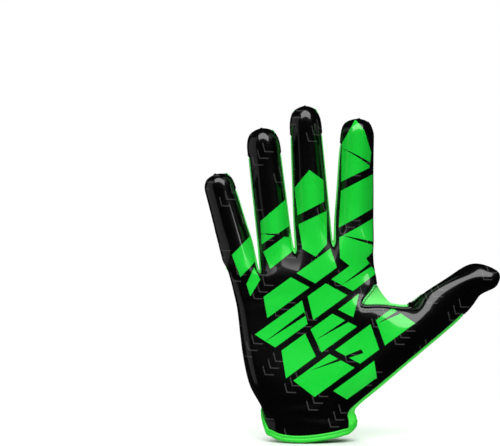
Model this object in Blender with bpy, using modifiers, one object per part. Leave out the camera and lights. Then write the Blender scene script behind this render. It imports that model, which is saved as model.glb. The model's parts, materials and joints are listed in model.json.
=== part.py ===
"""A right-hand receiver glove that keeps the shape of the hand inside it, fingers up and palm towards -Y.

The origin is the middle of the wrist opening, +X is the thumb's side, +Y the back of the hand, +Z the
fingers' side. Sizes are in metres. One smooth skin is drawn first, from the sizes and tables below, and each
leather or stretch panel is the patch of that skin between its seams, given a wall towards the hand.
"""

import math

import bmesh
import bpy
import numpy as np
from mathutils import Vector
from mathutils.bvhtree import BVHTree

# Wrist and palm
WRIST_WIDTH = 0.0600
WRIST_DEPTH = 0.0415
PALM_HEIGHT = 0.126
PALM_DEPTH = 0.030
PALM_HOLLOW = 0.0025
WEB_REACH = 0.0583
CROTCH_GAP = 0.0006

# Fingers: width where each leaves the hand, and length from there to its tip
LITTLE_WIDTH = 0.0221
LITTLE_LENGTH = 0.0617
RING_WIDTH = 0.0226
RING_LENGTH = 0.0849
MIDDLE_WIDTH = 0.0248
MIDDLE_LENGTH = 0.0900
INDEX_WIDTH = 0.0259
INDEX_LENGTH = 0.0804

# Thumb, measured from the web between it and the index finger
THUMB_LENGTH = 0.064
THUMB_WIDTH = 0.0200
THUMB_DEPTH = 0.0190
THUMB_FORWARD = 0.012
THUMB_LEAN = math.radians(35)

# Walls, seams and trim
PALM_LEATHER = 0.0015
BACK_LEATHER = 0.0014
STRETCH_CLOTH = 0.0011
SEAM_GAP = 0.0003
BINDING_HEIGHT = 0.0030
BINDING_WALL = 0.0010
TAB_LENGTH = 0.0410
TAB_HEIGHT = 0.0330
TAB_THICKNESS = 0.0018
TAB_RIB = 0.0007
BACKING_THICKNESS = 0.0010
TAB_CLEARANCE = 0.0005

# From the little finger to the index: width, length, lean to the thumb's side in degrees, the tip's width as a
# share of the base's, and the outer base's height as a share of the palm's
FINGERS = (
    ("little", LITTLE_WIDTH, LITTLE_LENGTH, -15.8, 0.87),
    ("ring", RING_WIDTH, RING_LENGTH, -6.7, 0.93),
    ("middle", MIDDLE_WIDTH, MIDDLE_LENGTH, -3.9, 0.81),
    ("index", INDEX_WIDTH, INDEX_LENGTH, 2.2, 0.82),
)

# Height of the little finger's outer base, of the three crotches and of the index's outer base, of PALM_HEIGHT
BASE_HEIGHTS = (0.875, 0.850, 0.956, 0.994, 0.975)
KNUCKLE_SHIFT = -0.058  # of the knuckles' breadth, towards the little finger

# One row of the palm for each line: height on the little finger's and on the thumb's side, of PALM_HEIGHT; how
# far the row's breadth has gone from the wrist's to the knuckles'; then, of that half breadth, how far out the
# little finger's side, the palm panel's inner edge and the thumb's side lie; front and back bulge, of
# PALM_DEPTH; and the share of the wrist's depth in them
PALM_ROWS = (
    # ulnar_z radial_z spread  ulnar  inner radial  front  back  wrist
    (0.080, 0.028, 0.00, 0.975, 0.890, 1.050, 0.500, 0.500, 1.00),
    (0.140, 0.070, 0.04, 1.010, 0.880, 1.060, 0.490, 0.480, 1.00),
    (0.215, 0.115, 0.23, 1.040, 0.850, 0.985, 0.560, 0.510, 0.60),
    (0.341, 0.275, 0.47, 1.000, 1.000, 1.560, 0.610, 0.540, 0.25),
    (0.484, 0.460, 0.58, 1.000, 1.020, 1.650, 0.570, 0.530, 0.05),
    (0.619, 0.655, 0.66, 1.000, 0.905, 1.420, 0.510, 0.510, 0.00),
    (0.712, 0.757, 0.76, 1.000, 1.100, 1.155, 0.470, 0.480, 0.00),
    (0.795, 0.862, 0.87, 1.000, 1.020, 1.060, 0.435, 0.460, 0.00),
)
HEM, ROOT_LOW, ROOT_HIGH, CROTCH = 0, 2, 5, 8  # rows where the cuff, the thumb and the fingers begin
ROUNDNESS = (2.0, 2.1, 2.3, 2.6, 2.7, 2.6, 2.5, 2.5)  # of each row's oval, 2 being an ellipse
HEM_BACK = (0.082, 0.030)  # the hem's height on the little finger's and on the thumb's side, of PALM_HEIGHT
HEM_FRONT = (-0.060, -0.018)  # the heights that its front dips towards

# Where the thumb's seam runs on the back of the hand, for the rows from ROOT_LOW to ROOT_HIGH: share of
# WEB_REACH across and share of PALM_HEIGHT up
THUMB_SEAM = ((0.520, 0.112), (0.720, 0.268), (0.885, 0.430), (0.900, 0.565))
WEB = (0.889, 0.684)  # deepest point of the web's silhouette, as the seam's shares

# Rings round the thumb: share of THUMB_LENGTH along it and of THUMB_WIDTH across it, for its outer and its inner
# edge, then the depth there, of THUMB_DEPTH, and the share of THUMB_FORWARD
THUMB_RINGS = (
    # outer along, across, inner along, across, depth, forward
    (-0.190, -1.800, 0.113, -0.230, 1.520, 0.12),
    (0.500, -1.550, 0.290, -0.200, 1.230, 0.50),
    (0.748, -1.300, 0.600, -0.220, 1.110, 0.80),
    (0.905, -1.360, 0.862, -0.300, 0.960, 0.96),
)
THUMB_TIP = (1.032, -1.020)
THUMB_ROOT = 0.40  # the ring between the root's seam and the first of these, and how far the web dips there
WEB_DIP = 0.14
THUMB_CAP_RING = 2
THUMB_FRONT = (28, 72, 112, 150)  # degrees round each ring, from its outer edge
THUMB_BACK = (30, 72, 112, 148)

# Rings round a finger: share of its length, width from the base's (0) to the tip's (1) and forward curl
FINGER_RINGS = (
    (0.17, 0.20, 0.03),
    (0.38, 0.45, 0.10),
    (0.61, 0.72, 0.28),
    (0.79, 0.98, 0.55),
    (0.905, 1.22, 0.80),
)
CAP_RING = 3
CAP_SLANT = 0.055  # how far the cap's edge climbs across half the finger, of the finger's length
FINGER_DEPTH = 0.92  # of its width
FINGER_CURL = 0.055  # of its length
FRONT_SEAMS = (-58, 3, 64)  # degrees round a finger from the middle of its front
SIDE_SEAMS = (-92, 92)
BACK_SEAMS = (-126, 177, 120)
END_SEAMS = (-72, 2, 76, -92, 92, -112, 178, 108)  # the same eight at the last ring, where the strips taper

PANELS = {
    "palm_panel": ("coated_leather", PALM_LEATHER),
    "back_panel": ("perforated_leather", BACK_LEATHER),
    "thumb_panel": ("perforated_leather", BACK_LEATHER),
    "thumb_cap": ("coated_leather", PALM_LEATHER),
    "index_cap": ("coated_leather", PALM_LEATHER),
    "little_cap": ("coated_leather", PALM_LEATHER),
    "fourchette_little_ring": ("stretch_cloth", STRETCH_CLOTH),
    "fourchette_ring_middle": ("stretch_cloth", STRETCH_CLOTH),
    "fourchette_middle_index": ("stretch_cloth", STRETCH_CLOTH),
    "thumb_gusset": ("stretch_cloth", STRETCH_CLOTH),
}
FOURCHETTES = tuple(name for name in PANELS if name.startswith("fourchette"))

MATERIALS = {
    "coated_leather": ((0.010, 0.010, 0.011), 0.12, 0.0),
    "perforated_leather": ((0.07, 0.80, 0.06), 0.45, 0.0),
    "stretch_cloth": ((0.16, 0.85, 0.22), 0.75, 0.0),
    "binding_cloth": ((0.05, 0.80, 0.05), 0.55, 0.0),
    "moulded_rubber": ((0.04, 0.66, 0.10), 0.40, 0.0),
    "backing_cloth": ((0.01, 0.22, 0.12), 0.80, 0.0),
}


def mix(a, b, share):
    return a + (b - a) * share


def clear_scene():
    for old in list(bpy.data.objects):
        bpy.data.objects.remove(old, do_unlink=True)


def material(name):
    colour, roughness, metallic = MATERIALS[name]
    made = bpy.data.materials.get(name)
    if made is None:
        made = bpy.data.materials.new(name)
        made.use_nodes = True
        shader = made.node_tree.nodes["Principled BSDF"]
        shader.inputs["Base Color"].default_value = (*colour, 1.0)
        shader.inputs["Roughness"].default_value = roughness
        shader.inputs["Metallic"].default_value = metallic
    return made


def add_object(name, mesh, finish, collection):
    made = bpy.data.objects.new(name, mesh)
    mesh.materials.clear()
    mesh.materials.append(material(finish))
    collection.objects.link(made)
    return made


class Cage:
    """Named points of the skin, and the four-sided faces between them, each marked with its panel."""

    def __init__(self):
        self.places = []
        self.number = {}
        self.faces = []
        self.panels = []

    def point(self, key, place):
        self.number[key] = len(self.places)
        self.places.append(place)

    def same(self, key, other):
        self.number[key] = self.number[other]

    def face(self, panel, *keys):
        self.faces.append([self.number[key] for key in keys])
        self.panels.append(list(PANELS).index(panel))

    def smoothing(self):
        """Each point's weights in the smooth skin that Subdivision Surface draws, as one square matrix."""
        count = len(self.places)
        beside = [{} for _ in range(count)]
        across = [[] for _ in range(count)]
        for a, b, c, d in self.faces:
            for left, here, right, far in ((d, a, b, c), (a, b, c, d), (b, c, d, a), (c, d, a, b)):
                across[here].append(far)
                for other in (left, right):
                    beside[here][other] = beside[here].get(other, 0) + 1
        weights = np.zeros((count, count))
        for here in range(count):
            rim = [other for other, uses in beside[here].items() if uses == 1]
            if rim:
                weights[here, here] = 4 / 6
                for other in rim:
                    weights[here, other] += 1 / 6
                continue
            valence = len(beside[here])
            total = valence * (valence + 5)
            weights[here, here] = valence**2 / total
            for other in beside[here]:
                weights[here, other] += 4 / total
            for other in across[here]:
                weights[here, other] += 1 / total
        return weights

    def controls(self):
        """The cage whose smooth skin passes through every named point."""
        return np.linalg.solve(self.smoothing(), np.array(self.places))


def finger_bases():
    """Middle across, lower and upper height and width of each finger's base, from the little finger."""
    breadth = sum(finger[1] for finger in FINGERS) + CROTCH_GAP * (len(FINGERS) - 1)
    left = breadth * (KNUCKLE_SHIFT - 0.5)
    bases = []
    for number, (_, width, _, _, _) in enumerate(FINGERS):
        low, high = (share * PALM_HEIGHT for share in BASE_HEIGHTS[number : number + 2])
        bases.append((left + width / 2, low, high, width))
        left += width + CROTCH_GAP
    return bases


BASES = finger_bases()
KNUCKLE_LEFT = BASES[0][0] - BASES[0][3] / 2
KNUCKLE_RIGHT = BASES[-1][0] + BASES[-1][3] / 2
COLUMNS = [(finger, seam) for finger in range(len(FINGERS)) for seam in range(3)]


def finger_point(finger, angle, length_share, width_share, curl_share, slant=0.0):
    """A point of a finger's skin, at an angle round it from the middle of its front."""
    middle, low, high, base_width = BASES[finger]
    _, _, length, lean, tip = FINGERS[finger]
    lean = math.radians(lean)
    width = base_width * mix(1.0, tip, width_share)
    turn = math.radians(angle)
    side = math.sin(turn) * width / 2
    along = length * (length_share + slant * math.sin(turn))
    return np.array((
        middle + math.cos(lean) * side + math.sin(lean) * along,
        -math.cos(turn) * width * FINGER_DEPTH / 2 - FINGER_CURL * length * curl_share,
        (low + high) / 2 - math.sin(lean) * side + math.cos(lean) * along,
    ))


def base_point(finger, angle, drop):
    """A point where a finger leaves the hand: between the heights of the crotches beside it, less a drop."""
    middle, low, high, width = BASES[finger]
    turn = math.radians(angle)
    share = (math.sin(turn) + 1) / 2
    place = finger_point(finger, angle, 0.0, 0.0, 0.0)
    return np.array((middle + math.sin(turn) * width / 2, place[1], mix(low, high, share) - drop))


def column_share(finger, seam, side_angles):
    """How far across the knuckles a column of the palm lies, from the little finger's side."""
    middle, _, _, width = BASES[finger]
    place = middle + math.sin(math.radians(side_angles[seam])) * width / 2
    return (place - KNUCKLE_LEFT) / (KNUCKLE_RIGHT - KNUCKLE_LEFT)


def row_breadth(spread, side):
    """Half the breadth of a row on the little finger's side (-1) or the thumb's (1)."""
    knuckle = -KNUCKLE_LEFT if side < 0 else KNUCKLE_RIGHT
    return mix(WRIST_WIDTH / 2, knuckle, spread)


def hem_height(across, sign):
    """The cuff's edge: sign is -1 on the front and 1 on the back, across runs from -1 to 1."""
    share = (across + 1) / 2
    side = mix(*HEM_BACK, share) * PALM_HEIGHT
    if sign > 0:
        return side
    return mix(side, mix(*HEM_FRONT, share) * PALM_HEIGHT, max(0.0, 1 - across**2) ** 0.3)


def palm_point(row, share, sign):
    """A point of the palm's skin: share runs from the little finger's seam to the panel's inner edge."""
    ulnar_z, radial_z, spread, ulnar, inner, radial, front, back, wrist = PALM_ROWS[row]
    low = -ulnar * row_breadth(spread, -1)
    high = radial * row_breadth(spread, 1)
    edge = inner * row_breadth(spread, 1)
    half = (high - low) / 2
    inset = 0.085 * half
    x = mix(low + inset, edge, share)
    across = max(-1.0, min(1.0, (x - low) / half - 1))
    bulge = (front if sign < 0 else back) * mix(PALM_DEPTH, WRIST_DEPTH, wrist)
    power = ROUNDNESS[row]
    y = sign * bulge * (1 - abs(across) ** power) ** (1 / power)
    z = mix(ulnar_z, radial_z, share) * PALM_HEIGHT
    if row == HEM:
        z = hem_height(across, sign)
    if row == HEM + 1:
        z = mix(z, hem_height(across, sign) + 0.062 * PALM_HEIGHT, 0.5)
    if sign < 0:
        reach = ((x / KNUCKLE_RIGHT + 0.05) / 0.62) ** 2 + ((z / PALM_HEIGHT - 0.52) / 0.26) ** 2
        y += PALM_HOLLOW * math.exp(-reach)
    return np.array((x, y, z))


def side_point(row, side):
    """The silhouette of a row, on the little finger's (-1) or the thumb's (1) side."""
    ulnar_z, radial_z, spread, ulnar, _, radial, _, _, _ = PALM_ROWS[row]
    share, height = (ulnar, ulnar_z) if side < 0 else (radial, radial_z)
    if row == ROOT_HIGH and side > 0:
        return np.array((WEB[0] * WEB_REACH, 0.0, WEB[1] * PALM_HEIGHT))
    return np.array((side * share * row_breadth(spread, side), 0.0, height * PALM_HEIGHT))


def draw_palm(cage):
    for row in range(CROTCH):
        blend = min(1.0, row / (CROTCH - 1) * 1.25)
        for sign, sheet, angles in ((-1, "front", FRONT_SEAMS), (1, "back", BACK_SEAMS)):
            shares = [column_share(finger, seam, angles) for finger, seam in COLUMNS]
            for number, (finger, seam) in enumerate(COLUMNS):
                knuckle = (shares[number] - shares[0]) / (shares[-1] - shares[0])
                wrist = 0.5 - 0.5 * math.cos(math.pi * number / (len(COLUMNS) - 1))
                even = number / (len(COLUMNS) - 1)
                share = mix(mix(wrist, even, 0.35), knuckle, blend)
                place = palm_point(row, share, sign)
                if sign > 0 and ROOT_LOW <= row <= ROOT_HIGH:
                    seam_x, seam_z = THUMB_SEAM[row - ROOT_LOW]
                    pull = share**3
                    edge = palm_point(row, 1.0, sign)
                    place[0] += (seam_x * WEB_REACH - edge[0]) * pull
                    place[2] += (seam_z * PALM_HEIGHT - edge[2]) * pull
                cage.point((sheet, row, finger, seam), place)
        cage.point(("little_side", row), side_point(row, -1))
        if not ROOT_LOW < row < ROOT_HIGH:
            cage.point(("thumb_side", row), side_point(row, 1))


def draw_finger_bases(cage):
    last = len(FINGERS) - 1
    for finger in range(len(FINGERS)):
        for seam in range(3):
            drop = 0.018 if seam != 1 else 0.0
            cage.point(
                ("front", CROTCH, finger, seam),
                base_point(finger, FRONT_SEAMS[seam], drop * PALM_HEIGHT),
            )
            drop = 0.042 if seam != 1 else 0.0
            cage.point(
                ("back", CROTCH, finger, seam),
                base_point(finger, BACK_SEAMS[seam], drop * PALM_HEIGHT),
            )
        for side, angle in enumerate(SIDE_SEAMS):
            outer = (finger == 0 and side == 0) or (finger == last and side == 1)
            drop = 0.0 if outer else -0.006 * PALM_HEIGHT
            cage.point(("side", finger, 0, side), base_point(finger, angle, drop))
    cage.same(("little_side", CROTCH), ("side", 0, 0, 0))
    cage.same(("thumb_side", CROTCH), ("side", last, 0, 1))


def ring_keys(finger, ring):
    """The eight points round a finger, from its little finger's side by the front to its back."""
    if ring == 0:
        front = [("front", CROTCH, finger, seam) for seam in range(3)]
        back = [("back", CROTCH, finger, seam) for seam in range(3)]
    else:
        front = [("finger", finger, ring, seam) for seam in range(3)]
        back = [("finger_back", finger, ring, seam) for seam in range(3)]
    sides = [("side", finger, ring, side) for side in range(2)]
    return [sides[0], *front, sides[1], *reversed(back)]


def draw_fingers(cage):
    capped = {0: CAP_SLANT, len(FINGERS) - 1: -CAP_SLANT}
    for finger in range(len(FINGERS)):
        for ring, (length, width, curl) in enumerate(FINGER_RINGS, start=1):
            angles = (*FRONT_SEAMS, *SIDE_SEAMS, *BACK_SEAMS)
            if ring == len(FINGER_RINGS):
                angles = END_SEAMS
            slant = capped.get(finger, 0.0) if ring == CAP_RING else 0.0
            keys = [("finger", finger, ring, seam) for seam in range(3)]
            keys += [("side", finger, ring, side) for side in range(2)]
            keys += [("finger_back", finger, ring, seam) for seam in range(3)]
            for key, angle in zip(keys, angles):
                cage.point(key, finger_point(finger, angle, length, width, curl, slant))
        middle = finger_point(finger, 90, 1.0, 1.0, 1.0) + finger_point(finger, -90, 1.0, 1.0, 1.0)
        cage.point(("tip", finger), middle / 2)


def thumb_point(along, across, depth):
    """A point measured from the web, along the thumb and across it, and its depth in front of the palm."""
    x = math.cos(THUMB_LEAN) * along - math.sin(THUMB_LEAN) * across
    z = math.sin(THUMB_LEAN) * along + math.cos(THUMB_LEAN) * across
    return np.array((WEB_REACH + x, -depth, 0.656 * PALM_HEIGHT + z))


def thumb_keys(ring):
    """The ten points round the thumb, from its outer edge by the front to its back."""
    if ring == "root":
        rows = range(ROOT_LOW, ROOT_HIGH + 1)
        last = len(FINGERS) - 1
        front = [("front", row, last, 2) for row in rows]
        back = [("back", row, last, 2) for row in rows]
        return [("thumb_side", ROOT_LOW), *front, ("thumb_side", ROOT_HIGH), *reversed(back)]
    front = [("thumb", ring, number) for number in range(4)]
    back = [("thumb_back", ring, number) for number in range(4)]
    return [("thumb_outer", ring), *front, ("thumb_inner", ring), *reversed(back)]


def draw_thumb(cage):
    for ring, row in enumerate(THUMB_RINGS, start=1):
        outer_along, outer_across, inner_along, inner_across, depth, forward = row
        centre = forward * THUMB_FORWARD
        outer = thumb_point(outer_along * THUMB_LENGTH, outer_across * THUMB_WIDTH, centre)
        inner = thumb_point(inner_along * THUMB_LENGTH, inner_across * THUMB_WIDTH, centre)
        cage.point(("thumb_outer", ring), outer)
        cage.point(("thumb_inner", ring), inner)
        for sign, name, angles in ((-1, "thumb", THUMB_FRONT), (1, "thumb_back", THUMB_BACK)):
            for number, angle in enumerate(angles):
                turn = math.radians(angle)
                place = mix(outer, inner, (1 - math.cos(turn)) / 2)
                place[1] += sign * math.sin(turn) * depth * THUMB_DEPTH / 2
                cage.point((name, ring, number), place)
    for root, key, first in zip(thumb_keys("root"), thumb_keys(0), thumb_keys(1)):
        place = mix(cage.places[cage.number[root]], cage.places[cage.number[first]], THUMB_ROOT)
        if key[0] == "thumb_inner":
            place[2] -= WEB_DIP * THUMB_WIDTH
        cage.point(key, place)
    along, across = THUMB_TIP
    for number, shift in enumerate((-0.17, 0.17)):
        tip = thumb_point(
            (along - abs(shift) * 0.08) * THUMB_LENGTH, (across + shift) * THUMB_WIDTH, THUMB_FORWARD
        )
        cage.point(("thumb_tip", number), tip)


def sew_palm(cage):
    last = len(COLUMNS) - 1
    for row in range(CROTCH):
        for number in range(last):
            left, right = COLUMNS[number], COLUMNS[number + 1]
            cage.face(
                "palm_panel",
                ("front", row, *left), ("front", row, *right),
                ("front", row + 1, *right), ("front", row + 1, *left),
            )
            cage.face(
                "back_panel",
                ("back", row, *right), ("back", row, *left),
                ("back", row + 1, *left), ("back", row + 1, *right),
            )
        sides = [("little_side", "palm_panel", "back_panel", COLUMNS[0], -1)]
        if row < ROOT_LOW:
            sides.append(("thumb_side", "thumb_panel", "thumb_panel", COLUMNS[last], 1))
        elif row == ROOT_HIGH:
            sides.append(("thumb_side", "thumb_gusset", "thumb_gusset", COLUMNS[last], 1))
        elif row > ROOT_HIGH:
            sides.append(("thumb_side", "palm_panel", "back_panel", COLUMNS[last], 1))
        for side, front_panel, back_panel, column, sign in sides:
            front = [("front", row, *column), ("front", row + 1, *column)]
            back = [("back", row, *column), ("back", row + 1, *column)]
            edge = [(side, row), (side, row + 1)]
            first, second = (edge, front) if sign < 0 else (front, edge)
            cage.face(front_panel, first[0], second[0], second[1], first[1])
            first, second = (back, edge) if sign < 0 else (edge, back)
            cage.face(back_panel, first[0], second[0], second[1], first[1])


def finger_panels(finger, ring):
    """The panels of the eight faces above a ring, in the order of ring_keys."""
    last = len(FINGERS) - 1
    back = "back_panel"
    if ring >= CAP_RING and finger in (0, last):
        back = "little_cap" if finger == 0 else "index_cap"
    before = FOURCHETTES[finger - 1] if finger > 0 else None
    after = FOURCHETTES[finger] if finger < last else None
    return (
        before or "palm_panel", "palm_panel", "palm_panel", after or "palm_panel",
        after or back, back, back, before or back,
    )


def sew_fingers(cage):
    count = len(FINGER_RINGS)
    for finger in range(len(FINGERS)):
        for ring in range(count):
            low, high = ring_keys(finger, ring), ring_keys(finger, ring + 1)
            for place, panel in enumerate(finger_panels(finger, ring)):
                after = (place + 1) % 8
                cage.face(panel, low[place], low[after], high[after], high[place])
        rim = ring_keys(finger, count)
        tip = ("tip", finger)
        panels = finger_panels(finger, count)
        cage.face("palm_panel", rim[0], rim[1], rim[2], tip)
        cage.face("palm_panel", tip, rim[2], rim[3], rim[4])
        cage.face(panels[5], tip, rim[4], rim[5], rim[6])
        cage.face(panels[5], rim[0], tip, rim[6], rim[7])
    for finger, panel in enumerate(FOURCHETTES):
        low, high = ("side", finger, 0, 1), ("side", finger + 1, 0, 0)
        left, right = (finger, 2), (finger + 1, 0)
        cage.face(panel, ("front", CROTCH, *left), ("front", CROTCH, *right), high, low)
        cage.face(panel, low, high, ("back", CROTCH, *right), ("back", CROTCH, *left))


def sew_thumb(cage):
    count = len(THUMB_RINGS)
    rings = ("root", *range(count + 1))
    for ring, following in zip(rings, rings[1:]):
        near, far = thumb_keys(ring), thumb_keys(following)
        ring = following - 1
        capped = ring >= THUMB_CAP_RING
        back = "thumb_cap" if capped else "thumb_panel"
        outer = "palm_panel" if capped else "thumb_panel"
        inner_front = "thumb_gusset" if ring < 1 else "palm_panel"
        inner_back = back if capped else "thumb_gusset"
        panels = (outer, *("palm_panel",) * 3, inner_front, inner_back, *(back,) * 4)
        for place, panel in enumerate(panels):
            after = (place + 1) % 10
            cage.face(panel, near[place], far[place], far[after], near[after])
    rim = thumb_keys(count)
    low, high = ("thumb_tip", 0), ("thumb_tip", 1)
    cage.face("palm_panel", rim[0], low, rim[2], rim[1])
    cage.face("palm_panel", low, high, rim[3], rim[2])
    cage.face("palm_panel", high, rim[5], rim[4], rim[3])
    cage.face("thumb_cap", rim[0], rim[9], rim[8], low)
    cage.face("thumb_cap", low, rim[8], rim[7], high)
    cage.face("thumb_cap", high, rim[7], rim[6], rim[5])


def smooth_skin(helpers):
    """The whole outer skin as one mesh, its faces marked with their panel."""
    cage = Cage()
    draw_palm(cage)
    draw_finger_bases(cage)
    draw_fingers(cage)
    draw_thumb(cage)
    sew_palm(cage)
    sew_fingers(cage)
    sew_thumb(cage)
    mesh = bpy.data.meshes.new("skin_cage")
    mesh.from_pydata([tuple(place) for place in cage.controls()], [], cage.faces)
    for _ in PANELS:
        mesh.materials.append(None)
    mesh.polygons.foreach_set("material_index", cage.panels)
    guide = bpy.data.objects.new("skin_cage", mesh)
    guide.hide_render = True
    guide.display_type = "WIRE"
    helpers.objects.link(guide)
    smoother = guide.modifiers.new("smooth", "SUBSURF")
    smoother.levels = smoother.render_levels = 1
    smoother.use_limit_surface = True
    bpy.context.view_layer.update()
    graph = bpy.context.evaluated_depsgraph_get()
    return bpy.data.meshes.new_from_object(guide.evaluated_get(graph))


def trimmed(skin, faces, depth):
    """A panel's points at a depth under the skin, its edge drawn back along it by half the seam's gap."""
    points = sorted({point for face in faces for point in face.vertices})
    places = {point: skin.vertices[point].co - skin.vertices[point].normal * depth for point in points}
    edges = {}
    for face in faces:
        loop = list(face.vertices)
        for start, end in zip(loop, loop[1:] + loop[:1]):
            edges.setdefault((min(start, end), max(start, end)), []).append((start, end))
    pulls = {}
    for uses in edges.values():
        if len(uses) == 1:
            start, end = uses[0]
            normal = skin.vertices[start].normal + skin.vertices[end].normal
            inward = normal.cross(places[end] - places[start]).normalized()
            pulls.setdefault(start, []).append(inward)
            pulls.setdefault(end, []).append(inward)
    for point, inwards in pulls.items():
        total = sum(inwards, Vector())
        places[point] += total * (SEAM_GAP / 2 * len(inwards) / max(total.length_squared, 0.5))
    return places


def cut_edge(outer, inner, start, end):
    """Two triangles across the wall. Panels that meet at a seam split their cut edges the same way."""
    if start < end:
        return [(outer[end], outer[start], inner[end]), (outer[start], inner[start], inner[end])]
    return [(outer[end], outer[start], inner[start]), (outer[end], inner[start], inner[end])]


def panel_mesh(skin, name):
    """One panel as a closed wall: its patch of the skin, the same patch nearer the hand, and its cut edge."""
    wall = PANELS[name][1]
    number = list(PANELS).index(name)
    faces = [face for face in skin.polygons if face.material_index == number]
    work = bmesh.new()
    outer = {point: work.verts.new(place) for point, place in trimmed(skin, faces, 0.0).items()}
    inner = {point: work.verts.new(place) for point, place in trimmed(skin, faces, wall).items()}
    for face in faces:
        work.faces.new([outer[point] for point in face.vertices])
    back = {vertex: point for point, vertex in outer.items()}
    cuts = []
    for edge in work.edges:
        if edge.is_boundary and edge.verts[0] in back:
            loop = edge.link_loops[0]
            cuts += cut_edge(outer, inner, back[loop.vert], back[loop.link_loop_next.vert])
    for face in faces:
        work.faces.new([inner[point] for point in reversed(face.vertices)])
    for corners in cuts:
        work.faces.new(corners)
    mesh = bpy.data.meshes.new(name)
    work.to_mesh(mesh)
    work.free()
    return mesh


def hem_loop(skin):
    """The cuff's edge in order: each point and its skin direction, then those higher up beside the binding."""
    work = bmesh.new()
    work.from_mesh(skin)
    edge = next(edge for edge in work.edges if edge.is_boundary)
    start = vertex = edge.verts[0]
    loop = []
    while True:
        rise = next(edge for edge in vertex.link_edges if not edge.is_boundary)
        above = rise.other_vert(vertex)
        share = min(0.95, BINDING_HEIGHT / rise.calc_length())
        out, out_above = skin.vertices[vertex.index].normal, skin.vertices[above.index].normal
        loop.append((vertex.co.copy(), out, mix(vertex.co, above.co, share), mix(out, out_above, share)))
        vertex = edge.other_vert(vertex)
        if vertex == start:
            break
        edge = next(e for e in vertex.link_edges if e.is_boundary and e != edge)
    work.free()
    return loop


def binding_mesh(skin):
    """A folded binding: a channel that the cuff's edge stands in, swept round the wrist."""
    near, far = SEAM_GAP, -PALM_LEATHER - SEAM_GAP
    floor = -SEAM_GAP
    section = (
        # out of the skin, up from its edge, beside the binding's upper edge
        (near + BINDING_WALL, floor - BINDING_WALL * 0.4, False),
        (near + BINDING_WALL, 0.0, True),
        (near, 0.0, True),
        (near, floor, False),
        (far, floor, False),
        (far, 0.0, True),
        (far - BINDING_WALL, 0.0, True),
        (far - BINDING_WALL, floor - BINDING_WALL * 0.4, False),
        ((near + far) / 2, floor - BINDING_WALL * 1.3, False),
    )
    work = bmesh.new()
    rings = []
    for low, out, high, out_high in hem_loop(skin):
        up = (high - low).normalized()
        rings.append([
            work.verts.new(high + out_high * across if upper else low + out * across + up * rise)
            for across, rise, upper in section
        ])
    for ring, following in zip(rings, rings[1:] + rings[:1]):
        for corner in range(len(section)):
            after = (corner + 1) % len(section)
            work.faces.new((ring[corner], ring[after], following[after], following[corner]))
    bmesh.ops.recalc_face_normals(work, faces=work.faces[:])
    mesh = bpy.data.meshes.new("cuff_binding")
    work.to_mesh(mesh)
    work.free()
    return mesh


def tab_outline(share):
    """Lower and upper edge of the closure tab, of TAB_HEIGHT, at a share of its length from its free end."""
    low = 0.20 * (1 - min(1.0, share / 0.28)) ** 1.5 + 0.16 * max(0.0, share - 0.28)
    high = mix(0.42, 1.0, min(1.0, share / 0.80) ** 0.9)
    return low, high


def tab_mesh(name, skin, start, thickness, rib, grow, columns):
    """A curved plate on the back of the wrist. It starts a set distance above the skin, and its ribs lean."""
    tree = BVHTree.FromPolygons(
        [vertex.co for vertex in skin.vertices], [face.vertices for face in skin.polygons]
    )
    free_end, base_height, rows = 0.25 * WRIST_WIDTH, 0.107 * PALM_HEIGHT, 6
    work = bmesh.new()
    grid = []
    for column in range(columns + 1):
        share = column / columns
        low, high = tab_outline(share)
        line = []
        for row in range(rows + 1):
            up = row / rows
            x = free_end + grow - share * (TAB_LENGTH + grow)
            z = base_height + mix(low * TAB_HEIGHT - grow, high * TAB_HEIGHT + grow * 0.3, up)
            hit, normal, _, _ = tree.ray_cast(Vector((x, WRIST_DEPTH * 2, z)), Vector((0, -1, 0)))
            inside = 0 < row < rows and 0 < column < columns
            raised = rib if inside and column % 2 else 0.0
            line.append((
                work.verts.new(hit + normal * start),
                work.verts.new(hit + normal * (start + thickness + raised)),
            ))
        grid.append(line)
    for column in range(columns):
        for row in range(rows):
            corners = (grid[column][row], grid[column + 1][row], grid[column + 1][row + 1], grid[column][row + 1])
            work.faces.new([corner[0] for corner in corners])
            work.faces.new([corner[1] for corner in reversed(corners)])
    rim = [(column, 0) for column in range(columns)] + [(columns, row) for row in range(rows)]
    rim += [(column, rows) for column in range(columns, 0, -1)] + [(0, row) for row in range(rows, 0, -1)]
    for (a, b), (c, d) in zip(rim, rim[1:] + rim[:1]):
        work.faces.new((grid[a][b][1], grid[c][d][1], grid[c][d][0], grid[a][b][0]))
    bmesh.ops.recalc_face_normals(work, faces=work.faces[:])
    mesh = bpy.data.meshes.new(name)
    work.to_mesh(mesh)
    work.free()
    return mesh


def build():
    clear_scene()
    glove = bpy.data.collections.new("receiver_glove")
    helpers = bpy.data.collections.new("guides")
    bpy.context.scene.collection.children.link(glove)
    bpy.context.scene.collection.children.link(helpers)
    skin = smooth_skin(helpers)
    for name, (finish, _) in PANELS.items():
        mesh = panel_mesh(skin, name)
        mesh.shade_smooth()
        mesh.set_sharp_from_angle(angle=math.radians(50))
        add_object(name, mesh, finish, glove)
    add_object("cuff_binding", binding_mesh(skin), "binding_cloth", glove)
    backing = tab_mesh("closure_backing", skin, TAB_CLEARANCE, BACKING_THICKNESS, 0.0, 0.002, 12)
    add_object("closure_backing", backing, "backing_cloth", glove)
    start = TAB_CLEARANCE + BACKING_THICKNESS + TAB_CLEARANCE
    tab = tab_mesh("closure_tab", skin, start, TAB_THICKNESS, TAB_RIB, 0.0, 24)
    add_object("closure_tab", tab, "moulded_rubber", glove)


build()
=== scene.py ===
"""A right-hand football receiver glove, held open by the hand inside it, in front of a pale studio floor.

Sizes are in metres. +X is the thumb's side, +Y the back of the hand, +Z the fingers' side, and the origin is
the middle of the wrist opening.
"""

import json
import math

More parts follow.
